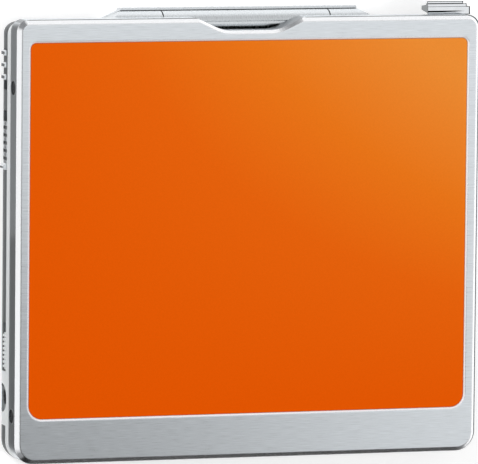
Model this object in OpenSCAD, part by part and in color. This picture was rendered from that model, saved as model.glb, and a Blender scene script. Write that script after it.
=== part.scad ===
// Portable disc player, closed, lying on its back: +Z is out of the lid's face, +Y is the hinge side.
// Millimetres. The origin is the centre of the underside.

/* [Case] */
// Room between the disc cartridge and each side of the case
side_room = 3.4; // [3.4:0.1:6]
// Depth of the case beyond the cartridge's own depth
depth_room = 3.9; // [3.9:0.1:8]
// Thickness of the closed case
case_t = 10.8; // [10.8:0.1:12.5]
// Thickness of the side walls
wall_t = 0.8; // [0.6:0.05:0.9]
// Thickness of the cabinet's floor
floor_t = 0.6; // [0.4:0.05:0.7]
// Corner radius at the hinge side
rear_corner_r = 2; // [1.9:0.1:3]
// Corner radius at the front
front_corner_r = 3.3; // [2.5:0.1:5]
// Width of the bevel round the lid's face
bevel = 0.75; // [0.4:0.05:0.9]
// How far the cabinet's rear wall stands in from the lid's rear edge
rear_set_in = 0.65; // [0.5:0.05:0.8]
// How far the underside is drawn in
under_in = 1.8; // [0.8:0.1:1.85]
// Height of the upright band of the cabinet
band_h = 1.45; // [1.2:0.05:1.6]
// Height of the pale frame between cabinet and lid
frame_h = 1.87; // [1.6:0.01:2]

/* [Lid] */
// Depth of the lid from its face to its lower edge
lid_depth = 4.2; // [4.1:0.05:4.4]
// Thickness of the lid's plate
plate_t = 0.8; // [0.75:0.05:0.8]
// Parting gap under the lid
parting = 0.1; // [0.08:0.01:0.14]
// Widest opening of the thumb notch
notch_w = 21; // [16:0.5:24]
// Width of the flat bottom of the thumb notch
notch_flat = 6.8; // [4:0.2:10]
// Depth of the thumb notch
notch_d = 2.1; // [1.5:0.05:2.1]
// Wall that follows the thumb notch
notch_wall = 0.4; // [0.3:0.02:0.42]
// Width of the bevel in the thumb notch
notch_bevel = 0.55; // [0.3:0.05:0.7]
// Thickness of the coloured panel
panel_t = 0.3; // [0.25:0.01:0.35]
// Panel margin at each side
panel_side = 2.25; // [2:0.05:3]
// Panel margin at the hinge side
panel_rear = 3.75; // [3.7:0.05:5]
// Panel margin at the front
panel_front = 7.4; // [5:0.1:9]
// Panel corner radius at the hinge side
panel_rear_r = 0.9; // [0.5:0.1:2]
// Panel corner radius at the front
panel_front_r = 2.2; // [1:0.1:4]
// Depth of the panel below the face, which is also the width of its cut rim
panel_sink = 0.25; // [0.1:0.01:0.28]
// Distance of the rear side screw from the lid's rear edge
screw_from_rear = 11.05; // [8:0.05:16]
// Distance of the front side screw from the lid's front edge
screw_from_front = 7.65; // [6:0.05:14]
// Depth of the side screws below the face
screw_depth = 2.6; // [2.4:0.05:2.7]
// Radius of the screw heads
screw_head_r = 1.1; // [0.9:0.05:1.15]
// Radius of the screw threads
screw_r = 0.5; // [0.4:0.05:0.6]

/* [Hinge] */
// Radius of the hinge barrel
barrel_r = 2.2; // [2.1:0.05:2.3]
// How far the barrel stands out behind the lid
barrel_proud = 0.85; // [0.8:0.05:1.05]
// Gap between the barrel and the lid's lower edge
barrel_gap = 0.2; // [0.2:0.05:0.3]
// Half length of the barrel
barrel_half = 22.7; // [20:0.1:24]
// Left end of the fixed middle knuckle
middle_left = -13.5; // [-15:0.1:-11.6]
// Right end of the fixed middle knuckle
middle_right = 15; // [11.6:0.1:16]
// Radius of the hinge pin
pin_r = 0.6; // [0.4:0.05:0.7]
// Radial clearance of the pin in the lid's knuckles
pin_play = 0.05; // [0.03:0.01:0.1]
// Slant of the barrel's ends
end_slant = 2.5; // [0.5:0.1:3]

/* [Disc holder] */
// Width of the disc cartridge
cartridge_w = 72; // [70:0.1:72]
// Depth of the disc cartridge
cartridge_d = 68; // [66:0.1:68]
// Thickness of the disc cartridge
cartridge_t = 5; // [4.8:0.05:5]
// Sheet thickness of the holder
sheet_t = 0.25; // [0.2:0.01:0.25]
// Clearance at each side of the cartridge
cartridge_side = 0.15; // [0.1:0.01:0.18]
// Clearance over the cartridge's thickness
cartridge_play = 0.2; // [0.15:0.01:0.22]
// Width of the lips that carry the cartridge
lip_w = 2.4; // [1.5:0.1:3]
// Thickness of the front bar that closes the slot
fascia_t = 0.65; // [0.5:0.05:0.7]

/* [Mechanism] */
// Radius of the turntable's rotor
rotor_r = 8.2; // [6.5:0.1:8.4]
// Radius of the turntable's hub
hub_r = 4.8; // [4.4:0.1:6]
// Radius of the spindle shaft
spindle_r = 0.6; // [0.4:0.05:0.7]
// Distance of the lens from the spindle at its innermost place
lens_start = 14.5; // [14.3:0.1:15]
// Travel of the pickup
pickup_travel = 16.4; // [10:0.1:16.4]
// Length of the pickup
pickup_l = 9.7; // [8:0.1:9.7]
// Radius of the main guide rod
main_rod_r = 0.75; // [0.5:0.05:0.8]
// Radius of the second guide rod
second_rod_r = 0.6; // [0.4:0.05:0.7]
// Distance of the main rod from the spindle
main_rod_y = 7.6; // [7.2:0.1:7.8]
// Distance of the second rod from the spindle
second_rod_y = 8; // [7.4:0.1:9]
// Distance of the lead screw from the spindle
screw_y = 11; // [10.8:0.1:11.6]
// Outer radius of the lead screw
lead_r = 0.9; // [0.7:0.05:1]
// Thread pitch of the lead screw
lead_pitch = 1; // [0.8:0.1:2]
// Running clearance in the mechanism's bearings
bearing_play = 0.03; // [0.02:0.01:0.06]
// Length of the battery cell
cell_l = 46; // [30:0.5:48]
// Width of the battery cell
cell_w = 14; // [10:0.5:15]
// Thickness of the battery cell
cell_t = 3; // [2.2:0.1:3.3]
// Length of a battery contact's blade
blade_l = 3; // [2:0.1:3]
// Width of a battery contact's blade
blade_w = 1.6; // [1:0.1:1.8]
// Distance of the battery contacts from the cell's edges
blade_edge = 3; // [2:0.1:4]
// Reach of the pickup window in front of the spindle
window_near = 5.4; // [5:0.1:5.8]
// Reach of the pickup window behind the spindle
window_far = 4.6; // [4:0.1:5]
// Radius of the board's locating holes
locator_r = 0.6; // [0.4:0.05:0.8]
// Spacing of the board's locating holes
locator_pitch = 4; // [3:0.1:5]

/* [Controls] */
// Clearance round each sliding knob
knob_play = 0.1; // [0.08:0.01:0.12]
// Thickness of the flange behind each knob
flange_t = 0.4; // [0.3:0.05:0.4]
// Distance of the hold knob's middle from the spindle side centre line
hold_y = 28.3; // [27.6:0.1:28.4]
// Length of the hold knob
hold_l = 5; // [4:0.1:5.2]
// Travel of the hold knob
hold_travel = 1.4; // [0.8:0.1:1.4]
// Pitch of the hold knob's three ribs
rib_pitch = 1.95; // [1.4:0.05:2]
// Height of the three ribs
rib_proud = 0.45; // [0.2:0.05:0.6]
// Front end of the opening knob
open_y = 11.3; // [10.5:0.1:12]
// Length of the opening knob
open_l = 7.9; // [6:0.1:8]
// Travel of the opening knob
open_travel = 1.6; // [1:0.1:1.6]
// Height of the fin on the opening knob
fin_proud = 0.65; // [0.3:0.05:0.9]
// Front end of the tone knob
tone_y = -21.1; // [-21.2:0.1:-20.5]
// Length of the tone knob
tone_l = 6; // [4:0.1:6.2]
// Travel of the tone knob
tone_travel = 1.5; // [0.8:0.1:1.5]
// Left end of the play lever
lever_x = 31.7; // [31:0.1:32.6]
// Travel of the play lever
lever_travel = 1.5; // [0.8:0.1:1.6]
// How far the play lever stands out behind the lid
lever_proud = 2.3; // [2.2:0.05:2.4]
// Radius of the earphone socket's bore
jack_r = 1.27; // [1:0.01:1.3]
// Length of the earphone socket's bore
jack_l = 10.4; // [8:0.1:11]
// Place of the earphone socket along the side
jack_y = -25.8; // [-26.4:0.1:-25.6]
// Width of the bezel round the earphone socket
bezel_w = 8.9; // [6:0.1:9]

/* [Hidden] */
$fn = 48;

// Levels and edges of the case
case_w = cartridge_w + 2 * side_room;
case_d = cartridge_d + depth_room;
hw = case_w / 2;
front = -case_d / 2;
rear = case_d / 2;
body_rear = rear - rear_set_in;
lid_low = case_t - lid_depth;
frame_low = lid_low - frame_h;
band_low = frame_low - band_h;
frame_high = lid_low - parting;
plate_low = case_t - plate_t;
bevel_low = case_t - bevel;
inner_hw = hw - wall_t;
inner_front = front + wall_t;
inner_rear = body_rear - wall_t;
slack = 0.05;
through = 1;

// Hinge axis
hinge_y = rear + barrel_proud - barrel_r;
hinge_z = lid_low - barrel_gap - barrel_r;
pocket_r = barrel_r + 0.12;
lip_wall = 0.36;
inner_barrel_r = barrel_r - 0.7;
knuckle_gap = 0.1;

// Disc holder
holder_high = plate_low - 0.15;
slot_high = holder_high - sheet_t;
slot_low = slot_high - cartridge_t - cartridge_play;
holder_low = slot_low - sheet_t;
holder_in = cartridge_w / 2 + cartridge_side;
holder_out = holder_in + sheet_t;
holder_front = front + fascia_t + 0.3;
holder_stop = holder_front + cartridge_d + 0.1;
holder_rear = holder_stop + sheet_t;
rail_in = holder_out + 0.3;
disc_y = holder_front + cartridge_d / 2;

// Inner frame of the lid
lid_rail_low = lid_low + 0.3;
lid_rail_high = plate_low - slack;
lid_rail_out = inner_hw - 0.1;
lid_rail_rear = rear - wall_t - 0.1;
web_front = holder_stop + 0.3;
screw_z = case_t - screw_depth;
screw_spots = [rear - screw_from_rear, front + screw_from_front];

// Mechanism levels, measured down from the cartridge
cartridge_low = slot_low;
chassis_low = floor_t + 0.4;
chassis_t = 0.35;
chassis_high = chassis_low + chassis_t;
axis_z = (chassis_high + cartridge_low) / 2 - 0.12;
upright_t = 0.6;
upright_left = lens_start - pickup_l / 2 - 1.1;
upright_right = lens_start + pickup_l / 2 + pickup_travel + 0.7;
chassis_left = -14;
chassis_front = disc_y - 13.2;
chassis_rear = disc_y + 15.6;
chassis_right = upright_right + upright_t + 0.3;
damper_r = 1.5;
damper_spots = [
    [chassis_left + 2.2, chassis_front + 2.2],
    [chassis_left + 2.2, chassis_rear - 2.2],
    [chassis_right - 3.2, chassis_front + 1.8],
    [chassis_right - 3.2, chassis_rear - 1.9]
];
stud_r = 0.5;

// Board, posts and battery
board_low = floor_t + 0.15;
board_t = 0.4;
board_high = board_low + board_t;
board_rear = inner_rear - 3;
post_r = 1.5;
front_post_in = [5.9, 4.9];
rear_post_in = [9.4, 6.4];
front_posts = [for (side = [-1, 1]) [side * (hw - front_post_in[0]), front + front_post_in[1]]];
rear_posts = [for (side = [-1, 1]) [side * (hw - rear_post_in[0]), rear - rear_post_in[1]]];
post_spots = concat(front_posts, rear_posts);
cell_x = 17.4 - hw;
cell_front = inner_front + 0.6;

// Controls on the left wall
flange_x = -inner_hw + 0.1;
knob_low = frame_low - 2.03;
knob_high = frame_low - 0.13;
jack_z = frame_low - 2.13;
cover = 0.1;
lever_low = band_low + 0.02;
lever_high = frame_high - 0.02;

// Solid with the case's rounded outline. Each edge point is [set in from the outline, height], from low to high.
module edged_solid(half_w, y_front, y_rear, r_front, r_rear, edge) {
    low = edge[0][1];
    high = edge[len(edge) - 1][1];
    right_side = [for (e = edge) [half_w - e[0], e[1]]];
    left_side = [for (i = [len(edge) - 1:-1:0]) [edge[i][0] - half_w, edge[i][1]]];
    front_side = [for (e = edge) [y_front + e[0], e[1]]];
    rear_side = [for (e = edge) [y_rear - e[0], e[1]]];
    translate([0, y_rear - r_rear, 0])
        rotate([90, 0, 0])
            linear_extrude(y_rear - r_rear - y_front - r_front)
                polygon(concat(right_side, left_side));
    translate([r_front - half_w, 0, 0])
        rotate([90, 0, 90])
            linear_extrude(2 * (half_w - r_front))
                polygon(concat(front_side, [[0, high], [0, low]]));
    translate([r_rear - half_w, 0, 0])
        rotate([90, 0, 90])
            linear_extrude(2 * (half_w - r_rear))
                polygon(concat(rear_side, [[0, high], [0, low]]));
    for (side = [-1, 1]) {
        translate([side * (half_w - r_front), y_front + r_front, 0])
            rotate_extrude()
                polygon(concat([[0, low]], [for (e = edge) [r_front - e[0], e[1]]], [[0, high]]));
        translate([side * (half_w - r_rear), y_rear - r_rear, 0])
            rotate_extrude()
                polygon(concat([[0, low]], [for (e = edge) [r_rear - e[0], e[1]]], [[0, high]]));
    }
}

// The same outline with upright sides
module outline_block(half_w, y_front, y_rear, r_front, r_rear, low, high) {
    edged_solid(half_w, y_front, y_rear, r_front, r_rear, [[0, low], [0, high]]);
}

// Box given by its low and high corners
module span(low, high) {
    translate(low) cube(high - low);
}

// Cylinder along X from x0 to x1
module x_rod(x0, x1, y, z, r) {
    translate([x0, y, z]) rotate([0, 90, 0]) cylinder(h = x1 - x0, r = r);
}

// Cylinder along Y from y0 to y1
module y_rod(x, y0, y1, z, r) {
    translate([x, y1, z]) rotate([90, 0, 0]) cylinder(h = y1 - y0, r = r);
}

// Profile in Y and Z, drawn out along X
module x_profile(x0, x1) {
    translate([x0, 0, 0]) rotate([90, 0, 90]) linear_extrude(x1 - x0) children();
}

// Section of the fixed parts round the hinge: a thin core and a full outer half
module fixed_hinge_section() {
    translate([hinge_y, hinge_z]) circle(r = inner_barrel_r);
    intersection() {
        translate([hinge_y, hinge_z]) circle(r = barrel_r);
        translate([hinge_y, hinge_z - barrel_r]) square([barrel_r, 2 * barrel_r]);
    }
}

// Slanted ends of the barrel, as the space that they leave
module barrel_ends() {
    slant_y = hinge_y + 0.85;
    for (side = [0, 1])
        mirror([side, 0, 0])
            translate([0, 0, -through])
                linear_extrude(case_t)
                    polygon([
                        [barrel_half, slant_y],
                        [barrel_half - end_slant, rear + barrel_proud],
                        [barrel_half - end_slant, rear + 4],
                        [barrel_half + 4, rear + 4],
                        [barrel_half + 4, slant_y]
                    ]);
}

// Point of the thumb notch's right side at a share s of the way in, moved out by a margin; an S curve
notch_start = 0.12;
function notch_point(s, grow) =
    let (run = (notch_w - notch_flat) / 2, fall = notch_d + notch_start)
    let (tilt = atan2(fall * PI / 2 * sin(180 * s), run))
    [
        notch_w / 2 - run * s + grow * sin(tilt),
        rear + notch_start - fall * (1 - cos(180 * s)) / 2 - grow * cos(tilt)
    ];

// Outline of the thumb notch, grown by a margin
function notch_outline(grow) =
    let (steps = 16, side = [for (i = [0:steps]) notch_point(i / steps, grow)])
    concat(
        [[side[0][0], rear + 3]],
        side,
        [for (i = [steps:-1:0]) [-side[i][0], side[i][1]]],
        [[-side[0][0], rear + 3]]
    );

// Space of the thumb notch with its bevel, which widens towards the face
module notch_space() {
    low_ring = notch_outline(0);
    high_ring = notch_outline(notch_bevel + slack);
    ring_z = case_t - notch_bevel;
    count = len(low_ring);
    points = concat(
        [for (p = low_ring) [p[0], p[1], ring_z]],
        [for (p = high_ring) [p[0], p[1], case_t + slack]]
    );
    sides = [for (i = [0:count - 1]) [i, (i + 1) % count, count + (i + 1) % count, count + i]];
    low_cap = [for (i = [count - 1:-1:0]) i];
    high_cap = [for (i = [0:count - 1]) count + i];
    polyhedron(points = points, faces = concat(sides, [low_cap], [high_cap]));
    translate([0, 0, frame_low]) linear_extrude(ring_z - frame_low + 0.01) polygon(low_ring);
}

// Cabinet edge: an upright band over a quarter ellipse that draws the underside in
function under_edge(low, inset, high) = concat(
    [for (a = [0:15:90]) [inset * (1 - sin(a)), low + (band_low - low) * (1 - cos(a))]],
    [[0, high]]
);

module bottom_cabinet() {
    color("dimgray")
    difference() {
        union() {
            difference() {
                edged_solid(hw, front, body_rear, front_corner_r, rear_corner_r,
                    under_edge(0, under_in, frame_low));
                edged_solid(inner_hw, inner_front, inner_rear, front_corner_r - wall_t,
                    rear_corner_r - wall_t,
                    under_edge(floor_t, under_in - wall_t, frame_low + through));
            }
            for (s = damper_spots)
                translate([s[0], s[1], floor_t - slack])
                    cylinder(h = chassis_high + 0.5 - floor_t, r = stud_r);
            board_ribs();
        }
        x_rod(-barrel_half - 0.3, barrel_half + 0.3, hinge_y, hinge_z, pocket_r);
        cabinet_slots();
        for (s = post_spots)
            translate([s[0], s[1], -through]) {
                cylinder(h = 2 * through + floor_t, r = screw_r + 0.1);
                cylinder(h = through + 0.3, r = screw_head_r + 0.05);
            }
        for (s = charge_spots)
            translate([s[0], s[1], -through]) cylinder(h = 2 * through + floor_t, r = charge_r + 0.05);
    }
}

// Lip on the cabinet's back that covers the barrel from below and behind
module hinge_cover() {
    lip_y = hinge_y + pocket_r + lip_wall;
    lip_z = hinge_z - 0.3;
    color("silver")
    difference() {
        x_profile(-barrel_half, barrel_half)
            polygon([
                [body_rear - under_in, 0.15],
                [body_rear, 0.5],
                [lip_y - 0.3, 1.7],
                [lip_y, 2.3],
                [lip_y, lip_z - 0.1],
                [lip_y - 0.1, lip_z],
                [hinge_y, lip_z],
                [hinge_y, floor_t]
            ]);
        edged_solid(hw, front, body_rear, front_corner_r, rear_corner_r,
            under_edge(0, under_in, frame_low));
        x_rod(-barrel_half - 0.3, barrel_half + 0.3, hinge_y, hinge_z, pocket_r);
        barrel_ends();
    }
}

// Low ribs under the circuit board
module board_ribs() {
    for (x = [-34.5, -27, -20])
        span([x, -17, floor_t - slack], [x + 0.8, board_rear - 1, board_low]);
    for (x = [-34.5, -27])
        span([x, front_posts[0][1] + 2.5, floor_t - slack], [x + 0.8, -17.5, board_low]);
    for (x = [-8, 6, 20])
        span([x, chassis_rear + 1, floor_t - slack], [x + 0.8, board_rear - 1, board_low]);
}

// Openings in the cabinet's walls
module cabinet_slots() {
    span([-hw - through, hold_y - hold_l / 2 - hold_travel - knob_play, knob_low - knob_play],
        [-inner_hw + slack, hold_y + hold_l / 2 + knob_play, frame_low + through]);
    span([-hw - through, open_y - knob_play, knob_low - knob_play],
        [-inner_hw + slack, open_y + open_l + open_travel + knob_play, frame_low + through]);
    span([-hw - through, tone_y - knob_play, knob_low + 0.6 - knob_play],
        [-inner_hw + slack, tone_y + tone_l + tone_travel + knob_play, frame_low + through]);
    span([-hw - through, jack_y - bezel_w / 2, bezel_low],
        [-inner_hw + through, jack_y + bezel_w / 2, frame_low + through]);
    span([stem_left - lever_travel - knob_play, inner_rear - slack, stem_low - knob_play],
        [stem_right + knob_play, body_rear + through, frame_low + through]);
}

// Pale frame between the cabinet and the lid: three rails, the front bar, and posts for the bottom screws
module mid_frame() {
    color("gainsboro")
    difference() {
        union() {
            difference() {
                outline_block(hw, front, body_rear, front_corner_r, rear_corner_r,
                    frame_low, frame_high);
                span([-rail_in, front + fascia_t, frame_low - through],
                    [rail_in, body_rear + through, case_t]);
                // Space that the lid's rear edge swings through
                difference() {
                    span([-hw - through, hinge_y, hinge_z],
                        [hw + through, rear + through, case_t]);
                    x_rod(-hw - through, hw + through, hinge_y, hinge_z, barrel_r);
                }
            }
            rear_rails();
            front_bar();
            frame_posts();
        }
        latch_pocket();
        for (s = post_spots)
            translate([s[0], s[1], floor_t - slack]) cylinder(h = 2.6, r = screw_r + 0.02);
        jack_recess();
        // Hollow over the flanges of the side knobs
        span([-inner_hw, tone_y - tone_travel - 0.6, frame_low - through],
            [-inner_hw + 1.2, hold_y + hold_l / 2 + hold_travel + 0.6, frame_low + 0.25]);
    }
}

// Rear rails beside the barrel
module rear_rails() {
    for (side = [0, 1])
        mirror([side, 0, 0])
            intersection() {
                x_profile(barrel_half + 0.3, rail_in + 0.5) fixed_hinge_section();
                span([0, hinge_y - barrel_r, frame_low],
                    [hw, body_rear, frame_high]);
            }
}

// Front bar that closes the slot under the lid's front edge
module front_bar() {
    bar_half = cartridge_w / 2 + 0.2;
    grip_r = 0.35;
    difference() {
        span([-bar_half, front, frame_low], [bar_half, front + fascia_t, slot_high + 0.05]);
        for (x = [-9:1.5:9])
            translate([x, front - grip_r * 0.5, frame_high + 0.6])
                cylinder(h = case_t, r = grip_r);
    }
}

// Posts for the bottom screws, each on a bracket that hangs from the nearest rail
module frame_posts() {
    post_high = holder_low - 0.15;
    arm_low = post_high - 0.8;
    arm_half = post_r * 0.8;
    for (s = post_spots)
        translate([s[0], s[1], floor_t]) cylinder(h = post_high - floor_t, r = post_r);
    for (side = [0, 1])
        mirror([side, 0, 0]) {
            translate([0, front_posts[1][1], 0]) {
                span([front_posts[1][0], -arm_half, arm_low], [inner_hw - 0.1, arm_half, post_high]);
                span([rail_in + 0.1, -arm_half, arm_low], [inner_hw - 0.1, arm_half, frame_low + 0.2]);
            }
            translate([rear_posts[1][0], 0, 0]) {
                span([-arm_half, rear_posts[1][1], arm_low], [arm_half, inner_rear - 0.15, post_high]);
                span([-arm_half, inner_rear - 1, arm_low], [arm_half, inner_rear - 0.15, frame_low + 0.2]);
            }
        }
}

// Pocket in the left rail for the latch
latch_x = flange_x + flange_t;
finger_y = disc_y - 4.4;
finger_l = 2;
strike_y = finger_y - 0.2;
module latch_pocket() {
    span([-inner_hw, strike_y - 3.8, frame_low - through],
        [-rail_in + through, finger_y + finger_l + open_travel + 0.5, case_t]);
}

// Rounded recess in front of the earphone socket, in the bezel and the frame
bezel_low = 0.95;
recess_depth = 0.6;
module jack_recess() {
    recess_r = 2.3;
    recess_high = frame_low + 0.45;
    intersection() {
        x_rod(-hw - through, -hw + recess_depth, jack_y, recess_high - recess_r, recess_r);
        span([-hw - through, jack_y - recess_r, bezel_low + 0.35], [0, jack_y + recess_r, case_t]);
    }
}

// Fixed middle knuckle of the hinge on its foot
module hinge_block() {
    left = middle_left + knuckle_gap;
    right = middle_right - knuckle_gap;
    color("silver")
    difference() {
        union() {
            x_profile(left, right) fixed_hinge_section();
            x_profile(left + 0.6, right - 0.6)
                polygon([
                    [hinge_y - inner_barrel_r, hinge_z],
                    [inner_rear - 0.1, hinge_z],
                    [inner_rear - 0.1, band_low],
                    [inner_rear - 1.15, floor_t + 0.6],
                    [inner_rear - 1.15, floor_t],
                    [inner_rear - 2.75, floor_t],
                    [inner_rear - 2.75, floor_t + 0.6],
                    [inner_rear - 1.7, floor_t + 1],
                    [inner_rear - 1.7, hinge_z - 1]
                ]);
        }
        x_rod(left - through, right + through, hinge_y, hinge_z, pin_r + 0.02);
        x_rod(left - through, left + spring_l, hinge_y, hinge_z, spring_r + 0.25);
        for (x = [left + 5, right - 5])
            translate([x, inner_rear - 2.2, 0]) cylinder(h = floor_t + 0.7, r = 0.3);
        // Seam along the top of the knuckle
        span([left - through, hinge_y + 0.45, hinge_z + barrel_r - 0.25],
            [right + through, hinge_y + 0.57, hinge_z + barrel_r + through]);
    }
}

// Hinge pin through all the knuckles
module hinge_pin() {
    color("lightsteelblue")
    x_rod(-barrel_half + 0.7, barrel_half - 0.7, hinge_y, hinge_z, pin_r);
}

// Torsion spring round the pin, drawn as closed coils side by side
spring_r = 0.95;
spring_wire_r = 0.14;
spring_l = 5.4;
module hinge_spring() {
    color("gray")
    translate([middle_left + 0.5, hinge_y, hinge_z])
        rotate([0, 90, 0])
            for (i = [0:1:13])
                translate([0, 0, i * 2.4 * spring_wire_r])
                    rotate_extrude()
                        translate([spring_r - spring_wire_r, 0]) circle(r = spring_wire_r, $fn = 16);
}

// Space in the lid that passes over the play lever
module lever_relief() {
    span([lever_x - lever_travel - 0.4, hinge_y - 0.9, 0], [hw + through, rear + through, lid_low + 1.4]);
}

// Outer shell of the lid: bevelled plate, side walls and thumb notch
module lid_shell() {
    color("silver")
    difference() {
        edged_solid(hw, front, rear, front_corner_r, rear_corner_r,
            [[0, lid_low], [0, bevel_low], [bevel, case_t]]);
        difference() {
            outline_block(inner_hw, inner_front, rear - wall_t, front_corner_r - wall_t,
                rear_corner_r - wall_t, lid_low - through, plate_low);
            // Wall that follows the notch
            translate([0, 0, lid_low - 2 * through])
                linear_extrude(case_t) polygon(notch_outline(notch_wall));
        }
        panel_recess();
        notch_space();
        lever_relief();
        // Mouth of the disc slot
        span([-rail_in + 0.2, front - through, 0], [rail_in - 0.2, inner_front + slack, slot_high + 0.25]);
        for (side = [0, 1]) mirror([side, 0, 0]) side_screw_holes();
    }
}

// Recess for the coloured panel, with its bright cut rim
module panel_recess() {
    rim_low = case_t - panel_sink;
    panel_shape(-slack, [[0, rim_low - panel_t], [0, rim_low], [-panel_sink - slack, case_t + slack]]);
}

// Solid with the panel's outline
module panel_shape(inset, edge) {
    shift_y = (panel_front - panel_rear) / 2;
    half_w = hw - panel_side - inset;
    half_d = (case_d - panel_front - panel_rear) / 2 - inset;
    translate([0, shift_y, 0])
        edged_solid(half_w, -half_d, half_d, panel_front_r - inset, panel_rear_r - inset, edge);
}

// Holes for the right side's two screws
module side_screw_holes() {
    for (y = screw_spots) {
        x_rod(inner_hw - through, hw + through, y, screw_z, screw_r + 0.1);
        x_rod(hw - 0.4, hw + through, y, screw_z, screw_head_r + 0.08);
    }
}

// Coloured panel in the lid
module face_panel() {
    color("darkorange")
    panel_shape(0, [[0, case_t - panel_sink - panel_t], [0, case_t - panel_sink]]);
}

// Inner frame of the lid, which the side screws hold
module lid_frame() {
    corner = 0.9;
    color("dimgray")
    difference() {
        union() {
            for (side = [0, 1])
                mirror([side, 0, 0]) {
                    span([rail_in + 0.05, front + 4.2, lid_rail_low],
                        [lid_rail_out, lid_rail_rear - corner, lid_rail_high]);
                    span([notch_w / 2 + 1.4, web_front, lid_rail_low],
                        [lid_rail_out - corner, lid_rail_rear, lid_rail_high]);
                    translate([lid_rail_out - corner, lid_rail_rear - corner, lid_rail_low])
                        cylinder(h = lid_rail_high - lid_rail_low, r = corner);
                }
        }
        lever_relief();
        for (side = [0, 1])
            mirror([side, 0, 0])
                for (y = screw_spots)
                    x_rod(0, hw, y, screw_z, screw_r);
        // Lightening pockets
        for (side = [0, 1])
            mirror([side, 0, 0])
                for (y = [-24:6:18])
                    span([rail_in + 0.55, y, lid_rail_low - through],
                        [lid_rail_out - 0.5, y + 4.6, lid_rail_high - 0.8]);
    }
}

// Pair of knuckles that turn with the lid
module hinge_knuckles() {
    color("silver")
    for (ends = [[-barrel_half, middle_left - knuckle_gap], [middle_right + knuckle_gap, barrel_half]])
        difference() {
            union() {
                x_rod(ends[0], ends[1], hinge_y, hinge_z, barrel_r);
                span([ends[0] + 0.4, hinge_y - barrel_r, hinge_z],
                    [ends[1] - 0.4, lid_rail_rear, lid_rail_low]);
            }
            span([ends[0] - through, hinge_y - 2 * barrel_r, 0],
                [ends[1] + through, web_front, case_t]);
            barrel_ends();
            x_rod(max(ends[0], -barrel_half + 0.5), min(ends[1], barrel_half - 0.5),
                hinge_y, hinge_z, pin_r + pin_play);
        }
}

// Sheet holder that carries the cartridge
module disc_holder() {
    color("lightgray")
    difference() {
        union() {
            span([-holder_out, holder_front, slot_high], [holder_out, holder_rear, holder_high]);
            for (side = [0, 1])
                mirror([side, 0, 0]) {
                    span([holder_in, holder_front, holder_low], [holder_out, holder_stop - 2, slot_high + slack]);
                    span([holder_in - lip_w, holder_front + 1.2, holder_low],
                        [holder_in + slack, holder_stop - 3.5, slot_low]);
                    span([26, holder_stop, lid_low + 0.2], [34, holder_rear, slot_high + slack]);
                }
        }
        holder_windows();
        for (side = [0, 1])
            mirror([side, 0, 0])
                for (y = [-27:11:17])
                    span([holder_in - through, y, slot_low + 1.4], [holder_out + through, y + 7, slot_high - 1.2]);
    }
}

window_w = 26;
window_d = 22;
window_spots = [for (x = [-16, 16]) for (y = [-17, 15]) [x, y]];

// Windows pressed out of the holder's plate
module holder_windows() {
    window_r = 2;
    for (s = window_spots)
        translate([s[0] - window_w / 2, disc_y + s[1] - window_d / 2, slot_high - through])
            linear_extrude(2 * through)
                union() {
                    translate([window_r, 0]) square([window_w - 2 * window_r, window_d]);
                    translate([0, window_r]) square([window_w, window_d - 2 * window_r]);
                    for (x = [window_r, window_w - window_r])
                        for (y = [window_r, window_d - window_r])
                            translate([x, y]) circle(r = window_r);
                }
}

// Leaf springs in the two front windows, flush with the plate
module holder_springs() {
    leaf_w = 4;
    color("gray")
    for (s = [window_spots[0], window_spots[2]])
        translate([s[0], disc_y + s[1], 0]) {
            span([-leaf_w / 2, -window_d / 2, slot_high + slack],
                [leaf_w / 2, window_d / 2 - 5, slot_high + slack + 0.15]);
            translate([0, window_d / 2 - 5, slot_high + slack]) cylinder(h = 0.15, r = 2.6);
        }
}

// Small hook on the holder's right wall that opens the cartridge's shutter
module shutter_opener() {
    color("goldenrod")
    union() {
        span([holder_out + 0.02, -5, slot_low + 2], [holder_out + 0.22, 7, slot_low + 3.2]);
        span([holder_in + 0.02, -4.5, slot_low + 2.1], [holder_out + 0.1, -2.9, slot_low + 3.1]);
    }
}

// Screw with a flat head and a cross recess, head up at height zero
module flat_screw(shank) {
    head_h = 0.28;
    recess_w = 0.3;
    difference() {
        union() {
            translate([0, 0, -head_h]) cylinder(h = head_h, r = screw_head_r);
            translate([0, 0, -head_h - shank]) cylinder(h = shank + slack, r = screw_r - 0.03);
        }
        span([-screw_head_r * 0.62, -recess_w / 2, -0.16], [screw_head_r * 0.62, recess_w / 2, through]);
        span([-recess_w / 2, -screw_head_r * 0.62, -0.16], [recess_w / 2, screw_head_r * 0.62, through]);
    }
}

// Four side screws of the lid
module lid_screws() {
    color("darkgray")
    for (side = [0, 1])
        mirror([side, 0, 0])
            for (y = screw_spots)
                translate([hw - 0.08, y, screw_z]) rotate([0, 90, 0]) flat_screw(1.5);
}

// Hook under the lid's left rail
module latch_strike() {
    hook_low = frame_low + 0.4;
    color("gray")
    union() {
        span([latch_x, strike_y - 2.9, hook_low], [latch_x + 0.6, strike_y - 2, lid_rail_low]);
        span([latch_x, strike_y - 2.9, hook_low], [latch_x + 0.6, strike_y, hook_low + 0.5]);
    }
}

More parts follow.
